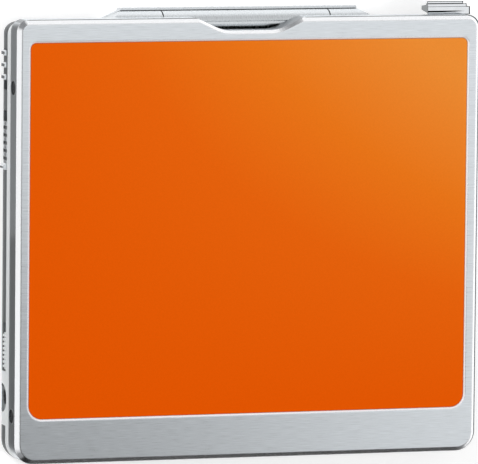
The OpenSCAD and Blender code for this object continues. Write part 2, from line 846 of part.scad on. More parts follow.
// Stamped steel chassis with upturned bearers for the rods and the lead screw
module chassis_plate() {
    color("lightsteelblue")
    difference() {
        union() {
            span([chassis_left, chassis_front, chassis_low], [chassis_right, chassis_rear, chassis_high]);
            for (x = [upright_left, upright_right]) {
                span([x, disc_y + main_rod_y - 1.4, chassis_low], [x + upright_t, disc_y + main_rod_y + 1.4, axis_z + 1.1]);
                span([x, disc_y - second_rod_y - 1.2, chassis_low], [x + upright_t, disc_y - second_rod_y + 1.2, axis_z + 1]);
            }
            span([upright_right, disc_y + screw_y - 1.2, chassis_low],
                [upright_right + upright_t, disc_y + screw_y + 1.2, axis_z + 1]);
            // Folded stiffening edge
            span([chassis_left, chassis_front, chassis_low], [chassis_right - 6, chassis_front + 0.4, chassis_high + 1]);
        }
        for (x = [upright_left, upright_right]) {
            x_rod(x - through, x + through, disc_y + main_rod_y, axis_z, main_rod_r + 0.02);
            x_rod(x - through, x + through, disc_y - second_rod_y, axis_z, second_rod_r + 0.02);
        }
        x_rod(upright_right - through, upright_right + through, disc_y + screw_y, axis_z, journal_r + bearing_play);
        translate([0, disc_y, 0]) cylinder(h = case_t, r = bearing_r + 0.15);
        for (s = damper_spots)
            translate([s[0], s[1], 0]) cylinder(h = case_t, r = stud_r + 0.3);
        // Window under the pickup
        span([upright_left + 2, disc_y - window_near, 0],
            [upright_right - 1.5, disc_y + window_far, case_t]);
    }
}

// Four rubber rings under the chassis
module chassis_dampers() {
    color("black")
    for (s = damper_spots)
        translate([s[0], s[1], floor_t])
            difference() {
                cylinder(h = chassis_low - floor_t, r = damper_r);
                translate([0, 0, -through]) cylinder(h = 3, r = stud_r + slack);
            }
}

bearing_r = 1.3;
motor_base_r = rotor_r - 0.9;
rotor_high = cartridge_low - 1.35;

// Base plate and bearing tube of the spindle motor
module spindle_motor() {
    color("tan")
    difference() {
        translate([0, disc_y, 0])
            union() {
                translate([0, 0, chassis_high]) cylinder(h = 0.25, r = motor_base_r);
                translate([0, 0, floor_t + 0.15]) cylinder(h = rotor_high - 0.55 - floor_t, r = bearing_r);
            }
        translate([0, disc_y, floor_t + 0.3]) cylinder(h = case_t, r = spindle_r + bearing_play);
    }
}

// Ring of flat coils on the motor's base
module motor_coils() {
    coil_r = (bearing_r + motor_base_r) / 2 + 0.3;
    coil_out = 1.5;
    color("peru")
    for (i = [0:5])
        translate([0, disc_y, chassis_high + 0.25])
            rotate([0, 0, 60 * i + 30])
                translate([coil_r, 0, 0])
                    difference() {
                        cylinder(h = 0.5, r = coil_out, $fn = 24);
                        translate([0, 0, -through]) cylinder(h = 3, r = coil_out * 0.4, $fn = 24);
                    }
}

// Turntable: rotor cup, hub, centring cone and shaft
module turntable() {
    cup_t = 0.3;
    hub_high = rotor_high + 0.8;
    cone_high = cartridge_low - 0.05;
    color("whitesmoke")
    translate([0, disc_y, 0])
        difference() {
            union() {
                translate([0, 0, rotor_high - cup_t]) cylinder(h = cup_t, r = rotor_r);
                difference() {
                    translate([0, 0, chassis_high + 0.15]) cylinder(h = rotor_high - chassis_high - 0.15, r = rotor_r);
                    cylinder(h = case_t, r = rotor_r - 0.5);
                }
                translate([0, 0, rotor_high - slack]) cylinder(h = hub_high - rotor_high + slack, r = hub_r);
                translate([0, 0, hub_high]) cylinder(h = cone_high - hub_high, r1 = hub_r - 0.9, r2 = hub_r - 1.5);
                translate([0, 0, floor_t + 0.4]) cylinder(h = cone_high - floor_t - 0.4, r = spindle_r);
            }
            // Vent holes in the cup
            for (a = [0:45:315])
                rotate([0, 0, a]) translate([(hub_r + rotor_r) / 2, 0, 0]) cylinder(h = case_t, r = 0.7, $fn = 24);
        }
}

// Magnet ring that clamps the disc's hub plate
module turntable_magnet() {
    color("darkslategray")
    translate([0, disc_y, rotor_high + 0.8])
        difference() {
            cylinder(h = 0.25, r = hub_r - 0.1);
            translate([0, 0, -through]) cylinder(h = 3, r = hub_r - 0.75);
        }
}

// Two guide rods
module guide_rods() {
    color("gainsboro")
    union() {
        x_rod(upright_left - 0.2, upright_right + upright_t + 0.15, disc_y + main_rod_y, axis_z, main_rod_r);
        x_rod(upright_left - 0.2, upright_right + upright_t + 0.15, disc_y - second_rod_y, axis_z, second_rod_r);
    }
}

// Pickup sled with two bearings on the main rod, a fork on the second and an arm to the lead screw
module optical_pickup() {
    left = lens_start - pickup_l / 2;
    right = lens_start + pickup_l / 2;
    sleeve_r = main_rod_r + 0.5;
    base_low = chassis_high + 0.2;
    base_high = axis_z + 0.35;
    color("dimgray")
    difference() {
        union() {
            span([left, disc_y - 6.4, base_low], [right, disc_y + main_rod_y - sleeve_r - 0.2, base_high]);
            for (x = [left, right - 2.4])
                union() {
                    x_rod(x, x + 2.4, disc_y + main_rod_y, axis_z, sleeve_r);
                    span([x, disc_y + 4, axis_z - 0.8], [x + 2.4, disc_y + main_rod_y, axis_z + 0.35]);
                }
            span([lens_start - 1.2, disc_y - second_rod_y - 1.1, axis_z + second_rod_r + 0.06],
                [lens_start + 1.2, disc_y - 6, axis_z + second_rod_r + 0.5]);
            span([lens_start - 1.2, disc_y - second_rod_y - 1.1, axis_z - second_rod_r - 0.5],
                [lens_start + 1.2, disc_y - 6, axis_z - second_rod_r - 0.06]);
            span([lens_start - 1.2, disc_y - 6.9, axis_z - second_rod_r - 0.5],
                [lens_start + 1.2, disc_y - 6, axis_z + second_rod_r + 0.5]);
            // Arm with the half nut beside the lead screw
            span([right - 2.4, disc_y + main_rod_y, axis_z - 0.45],
                [right, disc_y + screw_y - lead_r - 0.12, axis_z + 0.45]);
        }
        x_rod(left - through, right + through, disc_y + main_rod_y, axis_z, main_rod_r + bearing_play);
        // Laser and prism pocket
        span([left + 1, disc_y - 5.2, base_low - through], [left + 5, disc_y - 1, base_low + 0.6]);
    }
}

// Moving coil frame that carries the lens
module lens_actuator() {
    low = axis_z + 0.35;
    color("black")
    difference() {
        span([lens_start - 3.6, disc_y - 3.4, low], [lens_start + 3.6, disc_y + 3.4, low + 0.65]);
        translate([lens_start, disc_y, low - through]) cylinder(h = 4, r = 1.95);
        for (y = [-2.9, 2.1])
            span([lens_start - 2.6, disc_y + y, low + 0.25], [lens_start + 2.6, disc_y + y + 0.8, low + 2]);
    }
}

// Lens with a domed top
module objective_lens() {
    low = axis_z + 0.4;
    dome_r = 5;
    lens_r = 1.9;
    sag = dome_r - sqrt(dome_r * dome_r - lens_r * lens_r);
    color("lightblue")
    translate([lens_start, disc_y, low])
        intersection() {
            cylinder(h = 1, r = lens_r);
            translate([0, 0, 0.4 + sag - dome_r]) sphere(r = dome_r, $fn = 64);
        }
}

journal_r = 0.45;
thread_left = upright_left + 1.3;
thread_right = upright_right - 0.4;

// Lead screw with its thread as close rings
module lead_screw() {
    root_r = lead_r - 0.16;
    count = floor((thread_right - thread_left) / lead_pitch);
    ring = lead_pitch / 4;
    profile = concat(
        [[0, 0]],
        [for (i = [0:count - 1]) for (p = [[root_r, 0], [root_r, 1], [lead_r, 2], [lead_r, 3]])
            [p[0], (i * 4 + p[1]) * ring]],
        [[root_r, count * 4 * ring], [0, count * 4 * ring]]
    );
    color("darkgray")
    translate([0, disc_y + screw_y, axis_z])
        union() {
            translate([thread_left, 0, 0]) rotate([0, 90, 0]) rotate_extrude() polygon(profile);
            x_rod(thread_left - 2.6, upright_right + upright_t + 0.1, 0, 0, journal_r);
        }
}

// Feed motor on the end of the lead screw
module feed_motor() {
    motor_r = axis_z - chassis_high;
    motor_right = thread_left - 0.5;
    color("silver")
    difference() {
        union() {
            x_rod(motor_right - 10, motor_right, disc_y + screw_y, axis_z, motor_r);
            x_rod(motor_right - 10.4, motor_right - 9.9, disc_y + screw_y, axis_z, motor_r * 0.5);
        }
        x_rod(motor_right - 3, motor_right + through, disc_y + screw_y, axis_z, journal_r + bearing_play);
    }
}

// Main circuit board, an L round the chassis
module circuit_board() {
    left = -inner_hw + 1.4;
    locator_x = -19;
    locator_y = 24;
    color("darkgreen")
    difference() {
        union() {
            span([left, chassis_rear + 0.6, board_low], [inner_hw - 1.6, board_rear, board_high]);
            span([left, -19, board_low], [chassis_left - 0.6, chassis_rear + 1, board_high]);
            span([left, front + 3, board_low], [cell_x - 1.6, -18, board_high]);
        }
        for (s = post_spots) translate([s[0], s[1], 0]) cylinder(h = 3, r = post_r + 0.25);
        for (s = [-1, 1])
            translate([locator_x + s * locator_pitch / 2, locator_y, 0]) cylinder(h = 3, r = locator_r, $fn = 24);
    }
}

// Chips and small parts on the board
module board_chips() {
    chips = [
        [-24, 8, 8, 8, 1], [-24, -4, 6, 5, 0.9], [-8, 24, 10, 7, 1.1], [7, 24, 7, 7, 1],
        [20, 24, 6, 4, 0.9], [-27, 19, 5, 4, 0.9], [-19, -13, 4, 3, 0.8]
    ];
    color("darkslategray")
    union() {
        for (c = chips)
            translate([c[0] - c[2] / 2, c[1] - c[3] / 2, board_high]) cube([c[2], c[3], c[4]]);
        for (i = [0:6])
            translate([-33 + 3.1 * i, 12 + (i % 2) * 2.2 - 30, board_high]) cube([1.6, 0.9, 0.6]);
        for (i = [0:7])
            translate([-4 + 3 * i, 29, board_high]) cube([1, 1.8, 0.6]);
    }
}

// Earphone socket: a thin sleeve with its bore, and its housing on the board
module headphone_jack() {
    sleeve_r = jack_r + 0.13;
    mouth_x = -inner_hw - 0.15;
    color("black")
    difference() {
        union() {
            x_rod(mouth_x, mouth_x + jack_l + 1, jack_y, jack_z, sleeve_r);
            span([-inner_hw + 2, jack_y - 2.2, board_high], [mouth_x + jack_l + 1.4, jack_y + 2.2, jack_z + 0.9]);
        }
        x_rod(mouth_x - through, mouth_x + jack_l, jack_y, jack_z, jack_r);
    }
}

// Pale bezel that fills the cabinet's wall round the socket
module jack_bezel() {
    color("gainsboro")
    difference() {
        intersection() {
            span([-hw, jack_y - bezel_w / 2 + slack, bezel_low + slack],
                [-inner_hw - slack, jack_y + bezel_w / 2 - slack, frame_low]);
            edged_solid(hw, front, body_rear, front_corner_r, rear_corner_r,
                under_edge(0, under_in, frame_low));
        }
        jack_recess();
        x_rod(-hw - through, 0, jack_y, jack_z, jack_r + 0.18);
    }
}

// Flat rechargeable cell at the front
module battery_cell() {
    corner = 1.2;
    color("steelblue")
    translate([cell_x, cell_front, floor_t + slack])
        union() {
            translate([0, corner, 0]) cube([cell_l, cell_w - 2 * corner, cell_t]);
            for (y = [corner, cell_w - corner])
                intersection() {
                    translate([0, y, cell_t / 2]) rotate([0, 90, 0]) cylinder(h = cell_l, r = cell_t / 2);
                    translate([0, y - corner, 0]) cube([cell_l, 2 * corner, cell_t]);
                }
        }
}

// Contact blades at the cell's right end
module battery_contacts() {
    end_x = cell_x + cell_l;
    color("gold")
    for (y = [blade_edge, cell_w - blade_edge - blade_w + 0.1])
        translate([end_x + 0.1, cell_front + y, floor_t])
            union() {
                cube([0.25, blade_w, cell_t - 0.6]);
                cube([blade_l, blade_w, 0.25]);
            }
}

charge_r = 1;
charge_spots = [[-30, -8], [-25, -8]];

// Charging pads in the underside
module charge_terminals() {
    color("gold")
    for (s = charge_spots)
        translate([s[0], s[1], 0.06]) cylinder(h = board_low - 0.06, r = charge_r);
}

// Four bottom screws into the frame's posts
module bottom_screws() {
    color("darkgray")
    for (s = post_spots)
        translate([s[0], s[1], 0.02]) mirror([0, 0, 1]) flat_screw(2);
}

pin_high = 0.5;

// Switch blocks behind the three side knobs
module switch_bodies() {
    block_x = latch_x + 0.45;
    block_high = holder_low - 0.15;
    color("black")
    difference() {
        union() {
            span([block_x, hold_y - 3.2, board_high], [block_x + 2, hold_y + 2.4, block_high]);
            span([block_x, tone_y + 0.6, board_high], [block_x + 2, tone_y + tone_l + 0.6, block_high]);
            span([block_x, disc_y + 1.5, board_high], [block_x + 2, disc_y + 4.5, block_high]);
        }
        span([block_x - through, hold_y - hold_travel - 0.9, axis_z - 0.5], [block_x + 0.6, hold_y + 0.7, axis_z + 0.5]);
        span([block_x - through, tone_y + 2.3, axis_z - 0.5], [block_x + 0.6, tone_y + tone_travel + 3.9, axis_z + 0.5]);
    }
}

// Knob on the left wall, from y0 to y1, with its flange from f0 to f1 behind the wall
module side_knob(y0, y1, low, high, f0, f1, proud) {
    union() {
        span([-hw - proud, y0, low], [flange_x + slack, y1, high]);
        span([flange_x, f0, low - 0.3], [flange_x + flange_t, f1, high]);
    }
}

// Opening knob with grip serrations and a fin
module open_slider() {
    groove_r = 0.3;
    count = 5;
    color("silver")
    difference() {
        union() {
            side_knob(open_y, open_y + open_l, knob_low, knob_high,
                open_y - knob_play - open_travel - cover, open_y + open_l + knob_play + open_travel + cover, 0.1);
            x_fin();
        }
        for (i = [0:count - 1])
            translate([-hw - 0.1, open_y + 1.9 + i * 1.25, 0]) cylinder(h = case_t, r = groove_r, $fn = 24);
    }
}

// Thin fin at the front end of the opening knob
module x_fin() {
    translate([0, 0, knob_low])
        linear_extrude(knob_high - knob_low)
            polygon([
                [-hw, open_y],
                [-hw - fin_proud, open_y + 0.35],
                [-hw - fin_proud, open_y + 0.65],
                [-hw, open_y + 1.2]
            ]);
}

// Latch plate on the opening knob's flange, with its finger over the lid's hook
module latch_plate() {
    plate_x1 = latch_x + 0.3;
    color("lightsteelblue")
    union() {
        span([latch_x, finger_y, knob_low + 0.2], [plate_x1, open_y + open_l + 0.8, knob_high - 0.1]);
        span([latch_x, finger_y, knob_low + 0.2], [latch_x + 0.7, finger_y + finger_l, frame_low + 1.5]);
        span([latch_x, spring_end + 0.1, knob_low + 0.2], [latch_x + 1.5, spring_end + 0.6, knob_high - 0.3]);
    }
}

spring_start = disc_y + 5.6;
spring_end = spring_start + 6;

// Return spring of the opening knob, drawn as close coils
module open_spring() {
    wire_r = 0.13;
    coil_r = 0.42;
    color("gray")
    translate([latch_x + 0.9, spring_start, (knob_low + knob_high) / 2])
        rotate([-90, 0, 0])
            for (i = [0:1:13])
                translate([0, 0, 0.2 + i * 0.43])
                    rotate_extrude() translate([coil_r, 0]) circle(r = wire_r, $fn = 16);
}

// Hold knob with three ribs
module hold_switch() {
    color("dimgray")
    union() {
        side_knob(hold_y - hold_l / 2, hold_y + hold_l / 2, knob_low, knob_high,
            hold_y - hold_l / 2 - knob_play - hold_travel - cover,
            hold_y + hold_l / 2 + knob_play + hold_travel + cover, -0.05);
        for (i = [-1:1])
            translate([-hw + 0.1, hold_y + i * rib_pitch, knob_low])
                linear_extrude(knob_high - knob_low)
                    polygon([[0, -0.6], [-rib_proud - 0.1, -0.25], [-rib_proud - 0.1, 0.25], [0, 0.6]]);
        span([flange_x, hold_y - 0.5, axis_z - 0.35], [latch_x + 0.9, hold_y + 0.5, axis_z + 0.35]);
    }
}

// Tone knob with fine ridges
module tone_switch() {
    low = knob_low + 0.6;
    color("gainsboro")
    union() {
        side_knob(tone_y, tone_y + tone_l, low, knob_high,
            tone_y - knob_play - tone_travel - cover, tone_y + tone_l + knob_play + tone_travel + cover, -0.15);
        for (i = [0:7])
            span([-hw - 0.1, tone_y + 0.35 + i * 0.72, low], [-hw + 0.2, tone_y + 0.7 + i * 0.72, knob_high]);
        span([flange_x, tone_y + 2.5, axis_z - 0.35], [latch_x + 0.9, tone_y + 3.5, axis_z + 0.35]);
    }
}

stem_left = lever_x + 2.2;
stem_right = lever_x + 5.1;
stem_low = band_low + 0.12;
stem_high = frame_low - 0.13;

// Play lever at the rear right corner: a bar that narrows downward, with three terraces whose right ends
// step back round the corner, on a foot that slides in the cabinet's slot
module play_lever() {
    top_y = rear + lever_proud;
    back_y = rear + 0.12;
    steps = [[1.5, hw - 0.25, 0], [1.92, hw - 0.75, 0.12], [lever_proud, hw - 1.35, 0.24]];
    color("silver")
    difference() {
        union() {
            for (i = [0:len(steps) - 1])
                intersection() {
                    x_profile(lever_x, steps[i][1])
                        polygon([
                            [back_y, lever_high], [back_y + 0.23, lever_high - 0.35],
                            [back_y + 0.36, lever_low], [back_y + 1, lever_low],
                            [top_y - 0.6, lever_high - 1.1], [top_y, lever_high - 0.36],
                            [top_y, lever_high]
                        ]);
                    span([lever_x - through, i == 0 ? rear : rear + steps[i - 1][0] - slack, 0],
                        [hw, rear + steps[i][0], lever_high - steps[i][2]]);
                }
            span([stem_left, inner_rear - 0.3, stem_low], [stem_right, back_y + 0.6, stem_high]);
            span([stem_left - 0.8, inner_rear - 0.6, stem_low - 0.4], [stem_right + 0.5, inner_rear - 0.1, stem_high]);
        }
        // Corner cut at the right end of the first terrace
        translate([hw - 0.25, rear + 1.5, lever_low - through])
            rotate([0, 0, 45])
                cube([0.7, 0.7, case_t], center = true);
        // Fine groove between the grip and the back
        x_rod(lever_x - through, hw, rear + 1.1, lever_high + 0.02, 0.07);
    }
}

// Switch block behind the play lever
module lever_switch() {
    color("black")
    span([lever_x - 0.4, inner_rear - 2.4, board_high], [lever_x + 5.4, inner_rear - 0.75, stem_high - 0.3]);
}

bottom_cabinet();
hinge_cover();
mid_frame();
hinge_block();
hinge_pin();
hinge_spring();
lid_shell();
face_panel();
lid_frame();
hinge_knuckles();
disc_holder();
holder_springs();
shutter_opener();
lid_screws();
latch_strike();
chassis_plate();
chassis_dampers();
spindle_motor();
motor_coils();
turntable();
turntable_magnet();
guide_rods();
optical_pickup();
lens_actuator();
objective_lens();
lead_screw();
feed_motor();
circuit_board();
board_chips();
headphone_jack();
jack_bezel();
battery_cell();
battery_contacts();
charge_terminals();
bottom_screws();
switch_bodies();
open_slider();
latch_plate();
open_spring();
hold_switch();
tone_switch();
play_lever();
lever_switch();
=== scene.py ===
# %% [markdown]
# A slim pocket disc player lies on its back: a silver lid with an orange panel over a dark cabinet, with
# sliders along the left side and a barrel hinge behind. The solids come ready made from the CAD model, in
# metres, in one frame. This lesson gives them their finishes, and adds the small pieces that a solid
# modeller leaves plain, such as coiled wire, screw heads and the legs of the chips.

import math
import random

import bmesh
import bpy
from mathutils import Matrix, Vector
from mathutils.bvhtree import BVHTree


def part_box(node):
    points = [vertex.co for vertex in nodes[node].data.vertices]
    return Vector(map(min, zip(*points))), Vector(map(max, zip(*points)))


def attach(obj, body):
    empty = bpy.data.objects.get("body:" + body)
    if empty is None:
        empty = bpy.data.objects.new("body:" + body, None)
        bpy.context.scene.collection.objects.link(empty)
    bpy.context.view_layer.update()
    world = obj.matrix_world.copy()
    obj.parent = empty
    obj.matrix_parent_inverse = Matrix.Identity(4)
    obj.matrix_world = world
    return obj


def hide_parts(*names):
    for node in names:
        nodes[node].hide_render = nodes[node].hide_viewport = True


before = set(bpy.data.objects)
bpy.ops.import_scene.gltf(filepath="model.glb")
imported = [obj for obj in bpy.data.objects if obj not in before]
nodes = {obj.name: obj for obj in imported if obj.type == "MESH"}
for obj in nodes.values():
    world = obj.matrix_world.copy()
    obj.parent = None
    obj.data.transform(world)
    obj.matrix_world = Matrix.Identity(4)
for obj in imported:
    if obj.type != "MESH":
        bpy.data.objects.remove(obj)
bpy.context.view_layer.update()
MM = 0.001

# %% [markdown]
# Colours are written the way a paint chart gives them, as sRGB hex values, and Blender works in linear
# light. One function converts them, so that every value in the file can be compared with a screen.


# %% Colour from a hex value
def linear(hex_value):
    """Linear RGBA of an sRGB hex colour."""
    channels = [int(hex_value[i : i + 2], 16) / 255 for i in (1, 3, 5)]
    return [c / 12.92 if c <= 0.04045 else ((c + 0.055) / 1.055) ** 2.4 for c in channels] + [1.0]


# %% [markdown]
# Materials and Geometry Nodes are both small networks. One helper adds a node, sets its properties, fills
# its sockets with numbers and joins it to the nodes before it. Everything below is built with it.


# %% One function that adds a node
def add_node(tree, kind, sockets=None, **settings):
    """Adds a node; a socket's value is a number, a colour, or the (node, output) that feeds it."""
    node = tree.nodes.new(kind)
    for name, value in settings.items():
        setattr(node, name, value)
    for name, value in (sockets or {}).items():
        if isinstance(value, tuple) and isinstance(value[0], bpy.types.Node):
            tree.links.new(value[0].outputs[value[1]], node.inputs[name])
        else:
            node.inputs[name].default_value = value
    return node


# %% [markdown]
# A few nodes come back in nearly every material. The next functions add one of them and return the
# (node, output) pair, which goes straight into the next socket.


# %% Functions for materials
def maths(tree, operation, *operands):
    """A calculation with numbers."""
    return add_node(tree, "ShaderNodeMath", dict(enumerate(operands)), operation=operation), 0


def vector_maths(tree, operation, *operands):
    """A calculation with vectors, which gives a vector or a number."""
    node = add_node(tree, "ShaderNodeVectorMath", dict(enumerate(operands)), operation=operation)
    return node, "Value" if operation in ("DOT_PRODUCT", "DISTANCE") else "Vector"


def coordinates(tree, kind="Object"):
    """Where a point lies in its object's own axes, or its Normal in them."""
    return add_node(tree, "ShaderNodeTexCoord"), kind


def axes_of(tree, vector):
    """The node that splits a vector; its outputs are X, Y and Z."""
    return add_node(tree, "ShaderNodeSeparateXYZ", {"Vector": vector})


def remap(tree, value, start=(0.0, 1.0), end=(0.0, 1.0)):
    """A value carried from one range to another, and held inside the second."""
    ranges = {"From Min": start[0], "From Max": start[1], "To Min": end[0], "To Max": end[1]}
    return add_node(tree, "ShaderNodeMapRange", {"Value": value, **ranges}), 0


def mixed(tree, factor, first, second, blend="MIX"):
    """Two colours, mixed or blended in another way."""
    sockets = {0: factor, 6: first, 7: second}
    return add_node(tree, "ShaderNodeMix", sockets, data_type="RGBA", blend_type=blend), 2


def mixed_number(tree, factor, first, second):
    """Two numbers, mixed."""
    return add_node(tree, "ShaderNodeMix", {0: factor, 2: first, 3: second}, data_type="FLOAT"), 0


def colour_ramp(tree, factor, stops):
    """Colours that follow a factor, from pairs of a position and a hex value."""
    node = add_node(tree, "ShaderNodeValToRGB", {"Fac": factor})
    elements = node.color_ramp.elements
    for element, (position, hex_value) in zip(elements, (stops[0], stops[-1])):
        element.position, element.color = position, linear(hex_value)
    for position, hex_value in stops[1:-1]:
        elements.new(position).color = linear(hex_value)
    return node, 0


# %% [markdown]
# Most finishes on this object share one build. A noise pattern, stretched in the direction of the
# tooling, shifts the base colour a little, varies the gloss and raises a fine bump. A Bevel node rounds
# the light on every edge by a tenth of a millimetre, as deburring does, because a solid model's edges are
# perfectly sharp. What changes from one finish to the next is the colour, the grain's size and its depth.

# %% Finish with a fine grain
EDGE_ROUNDING = 0.1 * MM
NOISE_SPAN = (0.3, 0.7)


def noise(tree, size_mm, detail=2.0, roughness=0.5):
    """Noise in object coordinates, with a size in millimetres for each axis, or one for all three."""
    scale = [1 / (size * MM) for size in (size_mm if isinstance(size_mm, tuple) else (size_mm,) * 3)]
    stretched = add_node(tree, "ShaderNodeMapping", {"Vector": coordinates(tree), "Scale": scale})
    sockets = {"Vector": (stretched, 0), "Scale": 1.0, "Detail": detail, "Roughness": roughness}
    return add_node(tree, "ShaderNodeTexNoise", sockets), 0


def tinted(tree, colour, pattern, spread):
    """A colour that a pattern makes lighter and darker by a share."""
    tint = remap(tree, pattern, NOISE_SPAN, (1 - spread, 1 + spread))
    return mixed(tree, 1.0, colour, tint, "MULTIPLY")


def rounded_edges(tree, radius=EDGE_ROUNDING, samples=4):
    """A normal that turns over every sharp edge, as if it were deburred."""
    return add_node(tree, "ShaderNodeBevel", {"Radius": radius}, samples=samples), 0


def bump(tree, height, depth_mm, strength=0.5, **normal):
    """A fine relief, on the surface's own normal or on a given one."""
    sockets = {"Height": height, "Distance": depth_mm * MM, "Strength": strength, **normal}
    return add_node(tree, "ShaderNodeBump", sockets), 0


def new_material(name):
    """An empty node material, and its tree."""
    material = bpy.data.materials.new(name)
    material.use_nodes = True
    material.node_tree.nodes.clear()
    return material, material.node_tree


def closed(material, looks):
    """Ends a material with a Principled surface, and returns it."""
    shader = add_node(material.node_tree, "ShaderNodeBsdfPrincipled", looks)
    add_node(material.node_tree, "ShaderNodeOutputMaterial", {"Surface": (shader, 0)})
    return material


def grained(name, hex_value, metallic, roughness, grain_mm, spread, depth_mm, gloss_spread=0.08, **fixed):
    """A surface with a grain; its size and depth are in millimetres, and spread is the tint's share."""
    material, tree = new_material(name)
    grain = noise(tree, grain_mm, 3.0, 0.6)
    looks = {
        "Base Color": tinted(tree, linear(hex_value), grain, spread),
        "Roughness": remap(tree, grain, NOISE_SPAN, (roughness - gloss_spread, roughness + gloss_spread)),
        "Metallic": metallic,
        "Normal": bump(tree, grain, depth_mm, 0.6, Normal=rounded_edges(tree)),
    }
    return closed(material, looks | fixed)


# %% [markdown]
# The lid is an aluminium pressing, brushed from side to side and then clear anodised. The brush leaves
# lines 0.06 mm apart and about 3 mm long. After brushing, the slanted edge between face and wall is
# buffed, which leaves it brighter and softly crowned. The Bevel node gives that crown as a normal, and the
# shader finds the edge by its slant: the normal in the lid's own coordinates points between the wall's
# and the face's. The small slope down to the panel is milled after anodising, so it is matt and nearly
# white. There the normal points back towards the lid's middle, which the dot product with the position
# tells. Two thin dark lines are painted reflections, mixed into the colour where buffed metal would mirror
# its dark surroundings. One runs along the foot of the slant, on the right and at the rear, and its height
# above the foot follows the normal. The other runs along the bend between the face and the left slant,
# where the normal begins to turn to the left.

# %% Lid
BRUSH_MM = (2.8, 0.06, 0.06)
CROWN, BEVEL = 0.3 * MM, 0.75 * MM
OFF_FACE, OFF_WALL = (0.99, 0.85), (0.25, 0.5)
FOOT_SIDES, FOOT_REACH, FOOT_BLUR = (1.4, 0.6, 0), 0.3 * MM, 0.06 * MM
BEND_STARTS, BEND_ENDS, BEND_SHARE = (-0.15, -0.32), (-0.695, -0.62), 0.75


def brushed_with_buffed_edges():
    """Brushed aluminium, brighter and glossier wherever the surface slants, with two painted dark
    reflection lines.
    """
    material, tree = new_material("brushed_anodised_aluminium")
    lines = noise(tree, BRUSH_MM, 3.0, 0.55)
    crown = rounded_edges(tree, CROWN, 8)
    world_to_lid = {"vector_type": "NORMAL", "convert_from": "WORLD", "convert_to": "OBJECT"}
    own = (add_node(tree, "ShaderNodeVectorTransform", {"Vector": crown}, **world_to_lid), 0)
    slant = axes_of(tree, own)
    off_face = remap(tree, (slant, "Z"), OFF_FACE)
    off_wall = remap(tree, (slant, "Z"), OFF_WALL)
    cut = maths(tree, "MULTIPLY", off_face, off_wall)

    place = coordinates(tree)
    level_place = vector_maths(tree, "MULTIPLY", place, (1, 1, 0))
    outward = vector_maths(tree, "DOT_PRODUCT", own, level_place)
    inward = maths(tree, "LESS_THAN", outward, 0.0)
    slope = maths(tree, "MULTIPLY", inward, cut)

    far_side = vector_maths(tree, "DOT_PRODUCT", own, FOOT_SIDES)
    reach = maths(tree, "MULTIPLY_ADD", far_side, FOOT_REACH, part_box("lid_shell")[1].z - BEVEL)
    below = maths(tree, "SUBTRACT", reach, (axes_of(tree, place), "Z"))
    painted_foot_reflection = maths(tree, "MULTIPLY", remap(tree, below, (0.0, FOOT_BLUR)), off_wall)
    rising = remap(tree, (slant, "X"), BEND_STARTS)
    fading = remap(tree, (slant, "X"), BEND_ENDS)
    outside = remap(tree, inward, end=(BEND_SHARE, 0.0))
    painted_bend_reflection = maths(tree, "MULTIPLY", maths(tree, "MULTIPLY", rising, fading), outside)
    # Painted reflection: the dark grey below is mixed into the colour along these two thin lines.
    dark = maths(tree, "MAXIMUM", painted_foot_reflection, painted_bend_reflection)

    brushed = tinted(tree, linear("#D9DEE2"), lines, 0.13)
    buffed = mixed(tree, cut, brushed, linear("#F5F6F8"))
    rough = remap(tree, lines, NOISE_SPAN, (0.27, 0.33))
    looks = {
        "Base Color": mixed(tree, dark, buffed, linear("#454A4E")),
        "Roughness": mixed_number(tree, cut, rough, 0.22),
        "Metallic": remap(tree, slope, end=(1.0, 0.2)),
        "Normal": bump(tree, lines, 0.0004, Normal=crown),
    }
    return closed(material, looks)


brushed_aluminium = brushed_with_buffed_edges()

# %% [markdown]
# The other metals are simpler. The hinge barrel is turned and blasted aluminium, and inside there is plain
# rolled steel, some of it blackened, with gold on the contacts. After the colour come how metallic and how
# rough a surface is, the size of its grain, the tint's share and the depth.

# %% Metals
satin_aluminium = grained("turned_satin_aluminium", "#D3D7DA", 1.0, 0.28, (0.15, 4, 4), 0.015, 0.0004)
rolled_steel = grained("cold_rolled_steel", "#B9BBBD", 1.0, 0.34, (2.5, 0.25, 0.25), 0.05, 0.002)
blackened_steel = grained("blackened_steel", "#4A4C50", 1.0, 0.30, 0.4, 0.10, 0.002)
plated_gold = grained("gold_plating", "#D9B25A", 1.0, 0.24, 0.6, 0.04, 0.001)
tin_plate = grained("hot_tinned_ends", "#D6D8D6", 1.0, 0.35, 0.2, 0.05, 0.003)
enamelled_copper = grained("enamelled_copper_wire", "#B4602C", 1.0, 0.30, 0.3, 0.08, 0.002)

# %% [markdown]
# The cabinet below is a magnesium casting sprayed with a dark silver lacquer, and the frame between it
# and the lid is moulded plastic in a paler silver. Both show the soft speckle of metallic paint, with
# flakes drawn about a quarter of a millimetre wide. The rest is plastic, rubber, ceramic and glass.

# %% Paints and plastics
dark_silver_lacquer = grained("dark_silver_lacquer", "#6C6F71", 0.55, 0.40, 0.25, 0.06, 0.002)
pale_silver_plastic = grained("pale_silver_plastic", "#F3F6F7", 0.15, 0.42, 0.3, 0.03, 0.002)
black_plastic = grained("moulded_black_plastic", "#1B1C1E", 0.0, 0.50, 0.35, 0.15, 0.004)
fired_ceramic = grained("fired_ceramic", "#8F6F4E", 0.0, 0.45, 0.2, 0.08, 0.002)
black_rubber = grained("damper_rubber", "#151515", 0.0, 0.75, 0.2, 0.2, 0.004)
blue_sleeve = grained("shrink_sleeve", "#2B4B86", 0.0, 0.35, (0.9, 2.5, 0.9), 0.06, 0.003)
clear_coat = {"Coat Weight": 1.0}
coated_lens = grained("coated_lens", "#8FB3D9", 0.0, 0.05, 2, 0.02, 0.0, 0.02, **clear_coat)
